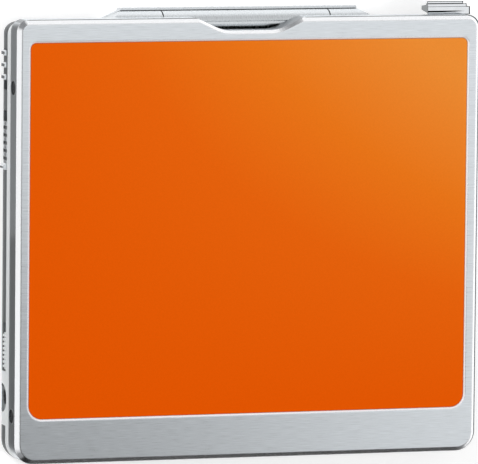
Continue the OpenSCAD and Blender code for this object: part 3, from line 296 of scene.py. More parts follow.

# %% [markdown]
# Two knobs on the left have a dark silver lacquer, and their ribs are polished bright, so the shader
# changes over at a distance from the knob's left end. The play lever is chromed, and its reflections are
# painted into the colour: light on its level faces, for the bright room, and a painted dark grey on its
# slopes, for the dark sides. The object's own normal picks the grey.

# %% Knobs and lever
RIB_BLUR = 0.03 * MM
# Painted reflection greys of the lever's chrome, by how far the normal points up.
PAINTED_CHROME_REFLECTIONS = [(0.0, "#85888A"), (0.3, "#4A4D50"), (0.8, "#4A4D50"), (0.97, "#E2E5E8")]


def bright_ribs(name, node, rib_mm):
    """Dark silver lacquer, with the ribs that stand out to the left of a knob polished bright."""
    material, tree = new_material(name)
    x = axes_of(tree, coordinates(tree)), "X"
    edge_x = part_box(node)[0].x + rib_mm * MM
    rib = remap(tree, x, (edge_x + RIB_BLUR, edge_x - RIB_BLUR))
    flakes = noise(tree, 0.25)
    paint = tinted(tree, linear("#5F6264"), flakes, 0.06)
    looks = {
        "Base Color": mixed(tree, rib, paint, linear("#E2E5E8")),
        "Roughness": remap(tree, rib, end=(0.40, 0.14)),
        "Metallic": remap(tree, rib, end=(0.55, 1.0)),
        "Normal": bump(tree, flakes, 0.002, Normal=rounded_edges(tree)),
    }
    return closed(material, looks)


def chrome_with_painted_reflections():
    """Chrome with painted reflections: light on level surfaces, for the bright room, and dark grey on
    slopes.
    """
    material, tree = new_material("chrome_painted_slope_reflections")
    upward = axes_of(tree, coordinates(tree, "Normal")), "Z"
    # The ramp paints reflections into the colour: dark grey on slopes, light on level faces.
    colour = colour_ramp(tree, upward, PAINTED_CHROME_REFLECTIONS)
    grain = noise(tree, 1.5)
    looks = {
        "Base Color": tinted(tree, colour, grain, 0.03),
        "Roughness": remap(tree, grain, end=(0.08, 0.14)),
        "Metallic": 1.0,
        "Normal": bump(tree, grain, 0.0005),
    }
    return closed(material, looks)


hold_finish = bright_ribs("lacquer_with_bright_ribs", "hold_switch", 0.3)
open_finish = bright_ribs("lacquer_with_bright_teeth", "open_slider", 0.68)
lever_chrome = chrome_with_painted_reflections()

# %% [markdown]
# The socket on the left sits in a sunken dish of the pale frame. Shade in the dish is painted: a grey is
# mixed into the colour wherever a point lies near the socket's axis and deeper than the lid's wall.
# That test holds across the whole width, so the same grey also lands in a small arc on the right wall.

# %% Painted shade in the dish round the socket
SOCKET = Vector((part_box("lid_shell")[0].x, -25.8 * MM, 2.88 * MM))
SOCKET_DISH, DISH_BLUR = 2.33 * MM, 0.02 * MM


def paint_dish_shade(material):
    """Paints shade into a material, as grey inside the sunken dish round the socket."""
    tree = material.node_tree
    shader = next(node for node in tree.nodes if node.type == "BSDF_PRINCIPLED")
    own = shader.inputs["Base Color"].links[0].from_node
    place = coordinates(tree)
    across = vector_maths(tree, "MULTIPLY", place, (0, 1, 1))
    away = vector_maths(tree, "DISTANCE", across, (0, SOCKET.y, SOCKET.z))
    inside = remap(tree, away, (SOCKET_DISH + DISH_BLUR, SOCKET_DISH - DISH_BLUR))
    sunk = remap(tree, (axes_of(tree, place), "X"), (SOCKET.x + DISH_BLUR, SOCKET.x + 3 * DISH_BLUR))
    # The grey #8B8F91 is painted shade of the sunken dish.
    colour, output = mixed(tree, maths(tree, "MULTIPLY", inside, sunk), (own, 2), linear("#8B8F91"))
    tree.links.new(colour.outputs[output], shader.inputs["Base Color"])


paint_dish_shade(pale_silver_plastic)

# %% [markdown]
# The circuit board is glass laminate under a green solder mask. Copper tracks run under the mask and show
# as paler lines. A Brick texture draws them: its mortar lines run straight for a few millimetres and then
# step over, as routed tracks do. A second one is turned by a quarter, and the cells of a Voronoi pattern
# decide which of the two shows in each patch of the board. The tracks are 0.15 mm wide.

# %% Circuit board
TRACK_MM, LANE_MM, STEP_MM, PATCH_MM = 0.15, 0.62, 4.5, 7.0
TURNED_SHARE, BARE_SHARE = 0.5, 0.25


def solder_masked_board():
    """Green mask, paler where a copper track runs under it."""
    material, tree = new_material("green_solder_mask")
    place = coordinates(tree)
    bricks = {"Scale": 1.0, "Mortar Size": TRACK_MM / 2, "Mortar Smooth": 0.2}
    bricks |= {"Brick Width": STEP_MM, "Row Height": LANE_MM}
    lanes = []
    for turn in (0, math.pi / 2):
        sockets = {"Vector": place, "Rotation": (0, 0, turn), "Scale": (1 / MM,) * 3}
        turned_by = add_node(tree, "ShaderNodeMapping", sockets)
        bricks["Vector"] = (turned_by, 0)
        lanes.append((add_node(tree, "ShaderNodeTexBrick", bricks, offset=0.37), "Fac"))
    cells = {"Vector": place, "Scale": 1 / (PATCH_MM * MM)}
    patches = add_node(tree, "ShaderNodeTexVoronoi", cells, distance="CHEBYCHEV")
    patch = axes_of(tree, (patches, "Color"))
    which = maths(tree, "GREATER_THAN", (patch, "X"), TURNED_SHARE)
    covered = maths(tree, "GREATER_THAN", (patch, "Y"), BARE_SHARE)
    track = maths(tree, "MULTIPLY", mixed_number(tree, which, *lanes), covered)
    looks = {
        "Base Color": mixed(tree, track, linear("#12522C"), linear("#2F8049")),
        "Roughness": 0.3,
        "Normal": bump(tree, track, 0.03),
    }
    return closed(material, looks)


solder_mask = solder_masked_board()

# %% [markdown]
# The panel is aluminium foil with an orange lacquer. A highlight is painted into its colour: deep orange
# in the near left corner and lighter towards the far right one. The clear coat's reflection is tinted by
# the foil under it, so the orange stays pure instead of going milky. That is what Specular Tint is for.

# %% Orange panel
panel_low, panel_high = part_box("face_panel")
ORANGE_PAINTED_HIGHLIGHT = [(0.0, "#E05200"), (0.4, "#E2600C"), (0.65, "#E57318"), (1.0, "#E88A33")]
RISE_LEFT, RISE_RIGHT, LIFT_ACROSS = 0.2, 1.0, 0.1


def orange_with_painted_highlight():
    """Orange with a painted highlight, lighter from the near left corner of the panel to the far right one.
    """
    material, tree = new_material("orange_lacquer_painted_highlight")
    place = axes_of(tree, coordinates(tree))
    across = remap(tree, (place, "X"), (panel_low.x, panel_high.x))
    away = remap(tree, (place, "Y"), (panel_low.y, panel_high.y))
    rise = maths(tree, "MULTIPLY", away, remap(tree, across, end=(RISE_LEFT, RISE_RIGHT)))
    # The ramp is a painted highlight, lighter towards the panel's far right corner.
    fade = colour_ramp(tree, maths(tree, "MULTIPLY_ADD", across, LIFT_ACROSS, rise), ORANGE_PAINTED_HIGHLIGHT)
    flakes = noise(tree, 0.3)
    looks = {
        "Base Color": tinted(tree, fade, flakes, 0.02),
        "Roughness": remap(tree, flakes, end=(0.34, 0.46)),
        "Metallic": 0.0,
        "Specular IOR Level": 0.25,
        "Specular Tint": linear("#F07000"),
    }
    return closed(material, looks)


orange_panel = orange_with_painted_highlight()

# %% [markdown]
# Each solid of the CAD model now gets its finish. A piece keeps its mesh, and only its material changes.

# %% Finishes of the solids
finishes = {
    brushed_aluminium: ["lid_shell"],
    orange_panel: ["face_panel"],
    pale_silver_plastic: ["mid_frame", "jack_bezel", "tone_switch"],
    dark_silver_lacquer: ["bottom_cabinet"],
    satin_aluminium: ["hinge_block", "hinge_knuckles", "hinge_cover"],
    lever_chrome: ["play_lever"],
    hold_finish: ["hold_switch"],
    open_finish: ["open_slider"],
    blackened_steel: ["lid_screws"],
    rolled_steel: [
        "hinge_pin", "disc_holder", "holder_springs", "latch_strike", "chassis_plate", "turntable",
        "guide_rods", "lead_screw", "feed_motor", "latch_plate", "bottom_screws", "hinge_spring",
        "open_spring", "headphone_jack",
    ],
    black_plastic: [
        "lid_frame", "spindle_motor", "optical_pickup", "lens_actuator", "board_chips",
        "switch_bodies", "lever_switch", "turntable_magnet",
    ],
    black_rubber: ["chassis_dampers"],
    plated_gold: ["shutter_opener", "battery_contacts", "charge_terminals"],
    enamelled_copper: ["motor_coils"],
    blue_sleeve: ["battery_cell"],
    solder_mask: ["circuit_board"],
    coated_lens: ["objective_lens"],
}
for material, names in finishes.items():
    for name in names:
        mesh = nodes[name].data
        mesh.materials.clear()
        mesh.materials.append(material)
dressed = {name for names in finishes.values() for name in names}
print("solids without a finish:", sorted(set(nodes) - dressed))

# %% [markdown]
# The next pieces repeat or follow a rule, so Geometry Nodes make them. Each tree has named inputs for its
# sizes. A helper makes the tree's frame, another one closes it with Realize Instances and Set Material,
# and `grow` runs it and keeps the result as a plain mesh, because an export drops instances. The others
# add steps that more than one tree takes.


# %% Helpers for Geometry Nodes
def new_tree(name, **inputs):
    """A geometry tree and its input node; each keyword is a type, and lists the inputs of that type."""
    tree = bpy.data.node_groups.new(name, "GeometryNodeTree")
    tree.interface.new_socket("Geometry", in_out="OUTPUT", socket_type="NodeSocketGeometry")
    tree.interface.new_socket("Geometry", in_out="INPUT", socket_type="NodeSocketGeometry")
    for kind, labels in inputs.items():
        for label in labels.split():
            tree.interface.new_socket(label, in_out="INPUT", socket_type="NodeSocket" + kind)
    tree.interface.new_socket("material", in_out="INPUT", socket_type="NodeSocketMaterial")
    return tree, add_node(tree, "NodeGroupInput")


def close_tree(tree, values, geometry):
    """Ends a tree: instances become real and get their material."""
    real = add_node(tree, "GeometryNodeRealizeInstances", {"Geometry": geometry})
    sockets = {"Geometry": (real, 0), "Material": (values, "material")}
    add_node(tree, "NodeGroupOutput", {"Geometry": (add_node(tree, "GeometryNodeSetMaterial", sockets), 0)})


def shape_of(tree, values, label):
    """The shape of an object that is one of the tree's inputs."""
    return add_node(tree, "GeometryNodeObjectInfo", {"Object": (values, label)}), "Geometry"


def stored(tree, label):
    """A vector that is stored on the points."""
    return add_node(tree, "GeometryNodeInputNamedAttribute", {"Name": label}, data_type="FLOAT_VECTOR"), 0


def on_points(tree, points, instance, **sockets):
    """An instance on each point."""
    sockets |= {"Points": points, "Instance": instance}
    return add_node(tree, "GeometryNodeInstanceOnPoints", sockets), 0


def round_wire(tree, values, resolution):
    """A circle with the wire's radius."""
    sockets = {"Resolution": resolution, "Radius": (values, "wire_radius")}
    return add_node(tree, "GeometryNodeCurvePrimitiveCircle", sockets), 0


def swept_spiral(tree, profile, resolution, turns, start, end, height):
    """A profile swept along a spiral round Z."""
    sockets = {"Resolution": resolution, "Rotations": turns, "Height": height}
    sockets |= {"Start Radius": start, "End Radius": end}
    spiral = add_node(tree, "GeometryNodeCurveSpiral", sockets)
    sockets = {"Curve": (spiral, 0), "Profile Curve": profile, "Fill Caps": True}
    return add_node(tree, "GeometryNodeCurveToMesh", sockets), 0


def transformed(tree, geometry, **ways):
    """A geometry, scaled, turned or moved."""
    return add_node(tree, "GeometryNodeTransform", {"Geometry": geometry, **ways}), 0


def set_in_place(tree, values, geometry):
    """A geometry, turned and moved by the tree's inputs."""
    angle = add_node(tree, "FunctionNodeEulerToRotation", {"Euler": (values, "turn")})
    return transformed(tree, geometry, Rotation=(angle, 0), Translation=(values, "place"))


def in_scene(name, data):
    """A new object that shows the given data."""
    thing = bpy.data.objects.new(name, data)
    bpy.context.scene.collection.objects.link(thing)
    return thing


def grow(name, tree, base, **values):
    """Runs a tree on a base mesh and keeps what it makes as a plain mesh at the origin."""
    piece = in_scene(name, base)
    modifier = piece.modifiers.new("nodes", "NODES")
    modifier.node_group = tree
    for item in tree.interface.items_tree:
        if item.in_out == "INPUT" and item.name in values:
            modifier[item.identifier] = values[item.name]
    depsgraph = bpy.context.evaluated_depsgraph_get()
    mesh = bpy.data.meshes.new_from_object(piece.evaluated_get(depsgraph), depsgraph=depsgraph)
    piece.modifiers.remove(modifier)
    piece.data = mesh
    mesh.name = name
    print(name, "has", len(mesh.polygons), "faces")
    return piece


def points_mesh(name, spots, edges=()):
    """A mesh of bare points, or of points joined by edges."""
    mesh = bpy.data.meshes.new(name)
    mesh.from_pydata([tuple(spot) for spot in spots], list(edges), [])
    return mesh


def loft(mesh, stations):
    """Adds a closed bar through sections that have the same number of corners."""
    rings = [[mesh.verts.new(corner) for corner in station] for station in stations]
    for near, far in zip(rings, rings[1:]):
        for i in range(len(near)):
            j = (i + 1) % len(near)
            mesh.faces.new((near[i], near[j], far[j], far[i]))
    mesh.faces.new(rings[0])
    mesh.faces.new(rings[-1])


def kept_mesh(name, mesh):
    """Keeps what bmesh has built as a plain mesh, with its normals outward."""
    bmesh.ops.recalc_face_normals(mesh, faces=mesh.faces)
    data = bpy.data.meshes.new(name)
    mesh.to_mesh(data)
    mesh.free()
    return data


# %% [markdown]
# The solid model knows where every screw and chip sits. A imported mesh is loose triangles, so a copy of
# it is merged first, and each group of joined faces is then one solid with its own box.


# %% Boxes of the separate solids in a node
def solids_of(name):
    """Lowest and highest corner of each separate solid in a node."""
    mesh = bmesh.new()
    mesh.from_mesh(nodes[name].data)
    bmesh.ops.remove_doubles(mesh, verts=mesh.verts, dist=0.001 * MM)
    left, boxes = set(mesh.verts), []
    while left:
        group, edge = set(), [left.pop()]
        while edge:
            vertex = edge.pop()
            group.add(vertex)
            for link in vertex.link_edges:
                other = link.other_vert(vertex)
                if other in left:
                    left.discard(other)
                    edge.append(other)
        corners = [[v.co[axis] for v in group] for axis in range(3)]
        boxes.append((Vector(min(c) for c in corners), Vector(max(c) for c in corners)))
    mesh.free()
    return sorted(boxes, key=lambda box: tuple(round(v, 6) for v in box[0]))


print("screws:", len(solids_of("lid_screws")) + len(solids_of("bottom_screws")))

# %% [markdown]
# The eight case screws are small countersunk ones with a cross recess. The head is a turned blank, which
# bmesh spins from half a profile. The tree cuts the recess with two tapered wedges, and then sets a copy
# of the screw on each point of its input. A direction stored on the points turns each copy.


# %% Turned blank of a screw
def turned(name, profile, segments=40):
    """A solid of revolution round Z from (radius, height) points that start and end on the axis."""
    mesh = bmesh.new()
    rings = []
    for radius, height in profile:
        if radius == 0:
            rings.append([mesh.verts.new((0, 0, height))])
        else:
            angles = [2 * math.pi * i / segments for i in range(segments)]
            corners = [(radius * math.cos(a), radius * math.sin(a), height) for a in angles]
            rings.append([mesh.verts.new(corner) for corner in corners])
    for low, high in zip(rings, rings[1:]):
        for i in range(segments):
            j = (i + 1) % segments
            corners = [low[i % len(low)], low[j % len(low)], high[j % len(high)], high[i % len(high)]]
            mesh.faces.new(dict.fromkeys(corners))
    return bpy.data.objects.new(name, kept_mesh(name, mesh))


head_low, head_high = solids_of("lid_screws")[0]
HEAD_R = (head_high.z - head_low.z) / 2
HEAD_H, SHANK_R, TIP, CHAMFER, DOME = 0.28 * MM, 0.47 * MM, 0.2 * MM, 0.07 * MM, 0.01 * MM
SCREW_L = head_high.x - head_low.x
blank = turned(
    "screw_blank",
    [
        (0, -SCREW_L), (SHANK_R * 0.7, -SCREW_L), (SHANK_R, -SCREW_L + TIP), (SHANK_R, -HEAD_H),
        (HEAD_R, -HEAD_H), (HEAD_R, -CHAMFER), (HEAD_R - CHAMFER, -DOME), (HEAD_R * 0.6, 0), (0, 0),
    ],
)
print("screw head radius", round(HEAD_R / MM, 2), "mm, length", round(SCREW_L / MM, 2), "mm")

# %% Tree that cuts and sets the screws
recess = "recess_reach recess_width recess_depth"
screw_tree, values = new_tree("cross_recess_screws", Object="blank", Float=recess)
drop = maths(screw_tree, "MULTIPLY", (values, "recess_depth"), -1.0)
low = add_node(screw_tree, "ShaderNodeCombineXYZ", {"Z": drop})
cone = {"Vertices": 4, "Radius Top": 1.0, "Radius Bottom": 0.45, "Depth": 2.0}
screw = shape_of(screw_tree, values, "blank")
for x, y in (("recess_reach", "recess_width"), ("recess_width", "recess_reach")):
    wedge = add_node(screw_tree, "GeometryNodeMeshCone", cone)
    squared = transformed(screw_tree, (wedge, 0), Rotation=(0, 0, math.pi / 4))
    sides = {"X": (values, x), "Y": (values, y), "Z": (values, "recess_depth")}
    size = add_node(screw_tree, "ShaderNodeCombineXYZ", sides)
    cutter = transformed(screw_tree, squared, Scale=(size, 0), Translation=(low, 0))
    both = {"Mesh 1": screw, "Mesh 2": cutter}
    screw = add_node(screw_tree, "GeometryNodeMeshBoolean", both, operation="DIFFERENCE"), 0
facing = {"Vector": stored(screw_tree, "facing")}
turn_to = add_node(screw_tree, "FunctionNodeAlignRotationToVector", facing, axis="Z")
copies = on_points(screw_tree, (values, "Geometry"), screw, Rotation=(turn_to, 0))
close_tree(screw_tree, values, copies)


# %% [markdown]
# Four screws hold the lid's shell from the sides, and four hold the cabinet from below. The side ones
# ride on the lid and are blackened. The others are plain steel.


# %% Side screws and bottom screws
RECESS = {"recess_reach": HEAD_R * 0.9, "recess_width": 0.22 * MM, "recess_depth": 0.2 * MM}


def screws(name, node, body, axis, sign_of, material):
    """Screws in the boxes of a node's solids; sign_of gives the way each head looks along the axis."""
    spots, ways = [], []
    for low, high in solids_of(node):
        spot = (low + high) / 2
        sign = sign_of(spot)
        spot[axis] = high[axis] if sign > 0 else low[axis]
        spots.append(spot)
        ways.append([sign if i == axis else 0 for i in range(3)])
    base = points_mesh(name, spots)
    base.attributes.new("facing", "FLOAT_VECTOR", "POINT").data.foreach_set("vector", sum(ways, []))
    piece = grow(name, screw_tree, base, blank=blank, material=material, **RECESS)
    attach(piece, body)
    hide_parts(node)


def away_from_middle(spot):
    """The way out along X."""
    return math.copysign(1, spot.x)


screws("side_screws", "lid_screws", "lid", 0, away_from_middle, blackened_steel)
screws("floor_screws", "bottom_screws", "case", 2, lambda spot: -1, rolled_steel)

# %% [markdown]
# A coil spring is a round wire on a helix. The Spiral node gives the helix along Z, Curve to Mesh sweeps
# a circle along it, and a turn and a shift put it on its axis. The same tree winds both springs: the
# torsion spring round the hinge pin, and the return spring of the opening slider.

# %% Tree that winds wire
sizes = "turns coil_radius wire_radius length"
coil_tree, values = new_tree("wire_coil", Float=sizes, Vector="turn place")
radius = (values, "coil_radius")
section = round_wire(coil_tree, values, 10)
wire = swept_spiral(coil_tree, section, 28, (values, "turns"), radius, radius, (values, "length"))
close_tree(coil_tree, values, set_in_place(coil_tree, values, wire))


# %% Hinge spring and slider spring
def spring(name, node, along, turns, wire_radius, body):
    """A coil spring that fills a node's box, with its axis along X or Y."""
    low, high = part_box(node)
    start = (low + high) / 2
    start[along] = low[along] + wire_radius
    piece = grow(
        name,
        coil_tree,
        points_mesh(name, []),
        turns=float(turns),
        coil_radius=(high.z - low.z) / 2 - wire_radius,
        wire_radius=wire_radius,
        length=high[along] - low[along] - 2 * wire_radius,
        turn=(0, math.pi / 2, 0) if along == 0 else (-math.pi / 2, 0, 0),
        place=start,
        material=rolled_steel,
    )
    for polygon in piece.data.polygons:
        polygon.use_smooth = True
    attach(piece, body)
    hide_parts(node)


spring("hinge_torsion_spring", "hinge_spring", 0, 13, 0.13 * MM, "case")
spring("slider_return_spring", "open_spring", 1, 13, 0.12 * MM, "case")

# %% [markdown]
# The lead screw that moves the pickup has a square thread one millimetre apart. The helix is the same
# kind as the springs', but a four-sided profile is swept along it, half sunk in a round core. Both
# journals of the core are turned thinner, as on the solid that it stands for.

# %% Tree that cuts a thread
sizes = "pitch length root_radius crest depth"
thread_tree, values = new_tree("threaded_rod", Object="core", Float=sizes, Vector="turn place")
turns = maths(thread_tree, "DIVIDE", (values, "length"), (values, "pitch"))
sides = {"Width": (values, "depth"), "Height": (values, "crest")}
section = add_node(thread_tree, "GeometryNodeCurvePrimitiveQuadrilateral", sides, mode="RECTANGLE")
root = (values, "root_radius")
thread = swept_spiral(thread_tree, (section, 0), 36, turns, root, root, (values, "length"))
rod = add_node(thread_tree, "GeometryNodeJoinGeometry", {"Geometry": thread})
core_shape, output = shape_of(thread_tree, values, "core")
thread_tree.links.new(core_shape.outputs[output], rod.inputs[0])
close_tree(thread_tree, values, set_in_place(thread_tree, values, (rod, 0)))

# %% Lead screw
rod_low, rod_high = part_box("lead_screw")
CREST_R = (rod_high.z - rod_low.z) / 2
ROOT_R, JOURNAL_R = CREST_R - 0.16 * MM, 0.45 * MM
ROD_L = rod_high.x - rod_low.x
LEFT_JOURNAL, RIGHT_JOURNAL, TIP, RUN_OUT = 2.6 * MM, 1.2 * MM, 0.1 * MM, 0.6 * MM
tip_r, thread_end = JOURNAL_R * 0.8, ROD_L - RIGHT_JOURNAL
core = turned(
    "lead_screw_core",
    [
        (0, 0), (tip_r, 0), (JOURNAL_R, TIP), (JOURNAL_R, LEFT_JOURNAL), (ROOT_R, LEFT_JOURNAL),
        (ROOT_R, thread_end), (JOURNAL_R, thread_end), (JOURNAL_R, ROD_L - TIP), (tip_r, ROD_L), (0, ROD_L),
    ],
)
for vertex in core.data.vertices:
    vertex.co.z -= LEFT_JOURNAL
lead_screw = grow(
    "lead_screw_thread",
    thread_tree,
    points_mesh("lead_screw_thread", []),
    core=core,
    pitch=1.0 * MM,
    length=thread_end - LEFT_JOURNAL - RUN_OUT,
    root_radius=ROOT_R + 0.02 * MM,
    crest=0.5 * MM,
    depth=0.24 * MM,
    turn=(0, math.pi / 2, 0),
    place=(rod_low.x + LEFT_JOURNAL, (rod_low.y + rod_high.y) / 2, (rod_low.z + rod_high.z) / 2),
    material=rolled_steel,
)
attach(lead_screw, "lead_screw")
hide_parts("lead_screw")

# %% [markdown]
# Each large chip stands on two rows of tinned legs, bent like a gull's wing. A short leg is a bar
# with the leg's side view for its section. The input mesh has one edge along each side of each chip, and
# the tree turns the edges to curves, places a point every 0.65 mm along them, and stands a leg on each
# point, square to the edge.

# %% One leg
LEG_WIDTH, LEG_REACH, LEG_THICKNESS, LEG_PITCH = 0.28 * MM, 0.75 * MM, 0.12 * MM, 0.65 * MM
LEG_HEIGHT, LEG_ROOT = 0.35 * MM, 0.05 * MM


def gull_wing_leg(height):
    """A leg that leaves a chip at a height and ends in a foot on the board."""
    line = [(-LEG_ROOT, height), (LEG_REACH * 0.35, height), (LEG_REACH * 0.55, 0), (LEG_REACH, 0)]
    outline = line + [(y, z + LEG_THICKNESS) for y, z in reversed(line)]
    mesh = bmesh.new()
    loft(mesh, [[(x, y, z) for y, z in outline] for x in (-LEG_WIDTH / 2, LEG_WIDTH / 2)])
    return bpy.data.objects.new("chip_leg", kept_mesh("chip_leg", mesh))


board_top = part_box("circuit_board")[1].z
leg = gull_wing_leg(LEG_HEIGHT)

# %% Tree that stands legs along edges
leg_tree, values = new_tree("rows_of_legs", Object="leg", Float="pitch")
sides = add_node(leg_tree, "GeometryNodeMeshToCurve", {"Mesh": (values, "Geometry")})
steps = {"Curve": (sides, 0), "Length": (values, "pitch")}
dotted = add_node(leg_tree, "GeometryNodeResampleCurve", steps, mode="LENGTH")
along = {"Vector": (add_node(leg_tree, "GeometryNodeInputTangent"), 0)}
square_on = add_node(leg_tree, "FunctionNodeAlignRotationToVector", along, axis="X", pivot_axis="Z")
one_leg = shape_of(leg_tree, values, "leg")
row = on_points(leg_tree, (dotted, 0), one_leg, Rotation=(square_on, 0))
close_tree(leg_tree, values, row)

# %% Legs of the chips
LARGE_CHIP, INSET = 2.5 * MM, 0.5 * MM
spots, edges = [], []
for low, high in solids_of("board_chips"):
    if min(high.x - low.x, high.y - low.y) < LARGE_CHIP:
        continue
    for start, end in (((high.x, low.x), high.y), ((low.x, high.x), low.y)):
        way = 1 if start[1] > start[0] else -1
        edges.append((len(spots), len(spots) + 1))
        spots += [(start[0] + way * INSET, end, board_top), (start[1] - way * INSET, end, board_top)]
rows = points_mesh("chip_legs", spots, edges)
chip_legs = grow("chip_legs", leg_tree, rows, leg=leg, pitch=LEG_PITCH, material=tin_plate)
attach(chip_legs, "case")

# %% [markdown]
# Between the chips a board carries dozens of chip capacitors, each a brown ceramic block with a tinned cap
# on either end. Spots are tried on a grid over the board, a little shifted by a seeded random number. A
# ray down must find the board just below, and rays up must find nothing near, so that the parts stand on
# the board and clear of all that is above. One tree sets the blocks, whose sizes are stored on the points.

# %% Free spots on the board
PART_MM, CAP_MM, CLEAR_HEIGHT, GRID = (1.5, 0.8, 0.55), 0.3, 1.1 * MM, 2.6 * MM
CHIP_MARGIN, WIDENED, START, BOARD_NEAR = 1.3 * MM, 1.3, 0.02 * MM, 0.1 * MM
SHIFT, ACROSS_SHARE, FILLED_SHARE = 0.2, 0.5, 0.75
rng = random.Random(11)
corners, faces = [], []
for node in nodes.values():
    faces += [[len(corners) + i for i in polygon.vertices] for polygon in node.data.polygons]
    corners += [vertex.co.copy() for vertex in node.data.vertices]
everything = BVHTree.FromPolygons(corners, faces)
chip_boxes = [box for box in solids_of("board_chips") if box[1].x - box[0].x > LARGE_CHIP]


def is_free(x, y, turned_across):
    """True where a part can stand on the board with nothing over it."""
    half_x, half_y = (PART_MM[0] / 2 * MM, PART_MM[1] / 2 * MM)
    if turned_across:
        half_x, half_y = half_y, half_x
    for low, high in chip_boxes:
        beside_x = low.x - CHIP_MARGIN < x < high.x + CHIP_MARGIN
        if beside_x and low.y - CHIP_MARGIN < y < high.y + CHIP_MARGIN:
            return False
    for dx in (-WIDENED, 0, WIDENED):
        for dy in (-WIDENED, 0, WIDENED):
            foot = Vector((x + dx * half_x, y + dy * half_y, board_top + START))
            below = everything.ray_cast(foot, Vector((0, 0, -1)), BOARD_NEAR)
            above = everything.ray_cast(foot, Vector((0, 0, 1)), CLEAR_HEIGHT)
            if below[0] is None or above[0] is not None:
                return False
    return True


board_low, board_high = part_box("circuit_board")
parts = []
for i in range(int((board_high.x - board_low.x) / GRID)):
    for j in range(int((board_high.y - board_low.y) / GRID)):
        x = board_low.x + (i + 0.5 + rng.uniform(-SHIFT, SHIFT)) * GRID
        y = board_low.y + (j + 0.5 + rng.uniform(-SHIFT, SHIFT)) * GRID
        across = rng.random() < ACROSS_SHARE
        if rng.random() < FILLED_SHARE and is_free(x, y, across):
            parts.append((x, y, across))
print("chip capacitors:", len(parts))

# %% Tree that sets blocks on points
block_tree, values = new_tree("small_blocks", Object="block")
one_block = shape_of(block_tree, values, "block")
set_down = on_points(block_tree, (values, "Geometry"), one_block, Scale=stored(block_tree, "size"))
close_tree(block_tree, values, set_down)
mesh = bmesh.new()
bmesh.ops.create_cube(mesh, size=1.0)
bmesh.ops.bevel(mesh, geom=mesh.edges[:], offset=0.09, segments=2, affect="EDGES")
unit_block = bpy.data.objects.new("unit_block", kept_mesh("unit_block", mesh))


def blocks(name, boxes, material):
    """Rounded blocks in the given boxes of (centre, size), riding on the case."""
    base = points_mesh(name, [centre for centre, _ in boxes])
    sizes = [value for _, size in boxes for value in size]
    base.attributes.new("size", "FLOAT_VECTOR", "POINT").data.foreach_set("vector", sizes)
    piece = grow(name, block_tree, base, block=unit_block, material=material)
    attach(piece, "case")


# %% Capacitors and their tinned ends
CAP_WRAP = 0.05 * MM


def end_caps(centre, size, along):
    """Boxes of the two caps on a block, a hair larger than the block."""
    found = []
    for sign in (-1, 1):
        spot, cap = Vector(centre), [value + CAP_WRAP for value in size]
        cap[along] = CAP_MM * MM
        spot[along] += sign * (size[along] - CAP_MM * MM + CAP_WRAP) / 2
        found.append((spot, cap))
    return found


ceramics, caps = [], []
for x, y, across in parts:
    length, width, height = (value * MM for value in PART_MM)
    size = (width, length, height) if across else (length, width, height)
    centre = (x, y, board_top + height / 2)
    ceramics.append((centre, size))
    caps += end_caps(centre, size, 1 if across else 0)
for low, high in solids_of("board_chips"):
    size = high - low
    if max(size.x, size.y) < LARGE_CHIP:
        caps += end_caps((low + high) / 2, size, 0 if size.x > size.y else 1)
blocks("chip_capacitors", ceramics, fired_ceramic)
blocks("tinned_ends", caps, tin_plate)

# %% [markdown]
# Six flat coils drive the turntable. Each is enamelled wire wound in a flat spiral, three layers deep. The
# tree winds one layer with the Spiral node, stacks it on a short line of points, and sets the stack on
# the middle of each coil of the solid model.

# %% Motor coils
coil_boxes = solids_of("motor_coils")
WIRE_R, LAYERS = 0.075 * MM, 3
sizes = "turns inner outer wire_radius"
winding_tree, values = new_tree("flat_windings", Float=sizes, Int="layers", Vector="rise")
section = round_wire(winding_tree, values, 8)
ends = (values, "inner"), (values, "outer")
layer = swept_spiral(winding_tree, section, 24, (values, "turns"), *ends, 0.0)
line = {"Count": (values, "layers"), "Offset": (values, "rise")}
pile = add_node(winding_tree, "GeometryNodeMeshLine", line, mode="OFFSET")
stack = on_points(winding_tree, (pile, 0), layer)
close_tree(winding_tree, values, on_points(winding_tree, (values, "Geometry"), stack))
coil_low, coil_high = coil_boxes[0]
coil_reach = (coil_high.y - coil_low.y) / 2
middles = [((low.x + high.x) / 2, (low.y + high.y) / 2, low.z + WIRE_R) for low, high in coil_boxes]
windings = grow(
    "coil_windings",
    winding_tree,
    points_mesh("coil_windings", middles),
    turns=5.0,
    inner=coil_reach * 0.45,
    outer=coil_reach - WIRE_R,
    wire_radius=WIRE_R,
    layers=LAYERS,
    rise=(0, 0, (coil_high.z - coil_low.z - 2 * WIRE_R) / (LAYERS - 1)),
    material=enamelled_copper,
)
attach(windings, "case")
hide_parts("motor_coils")

# %% [markdown]
# The play lever is a bright bar along the rear edge, and a thumb finds it by its three terraces. Such a
# lever is die cast in zinc and chrome plated. Every edge is broken a little so that the plating holds,
# and a painted dark reflection on those narrow slopes draws a line round each terrace. A scoop along the
# front terrace fades out to the right. The bar is lofted: its section is repeated at a few stations along
# X, and neighbouring sections are joined by quads. Heights count down from its top, and depths back from
# the lid's rear wall, all in millimetres. A stem with a flange, inside the case, carries the bar.

# %% Lofted bars
lever_low, lever_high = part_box("play_lever")
rear_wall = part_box("lid_shell")[1].y
UNDERSIDE = [(-0.17, -0.2), (0.1, -0.35), (0.45, -3.18), (1.12, -3.18), (1.4, -1.1), (2.03, -0.36)]
SCOOP = [(0.0, 0.13), (2.2, 0.13), (4.6, 0.07), (6.4, 0.0)]
SCOOP_FRONT, SCOOP_BOTTOM, SCOOP_REAR, LEFT_EDGE = 0.2, 0.34, 0.48, 0.03


def between(points, x):
    """Height at x on a line of points."""
    for (x0, z0), (x1, z1) in zip(points, points[1:]):
        if x <= x1:
            return z0 + (z1 - z0) * (x - x0) / (x1 - x0)
    return points[-1][1]


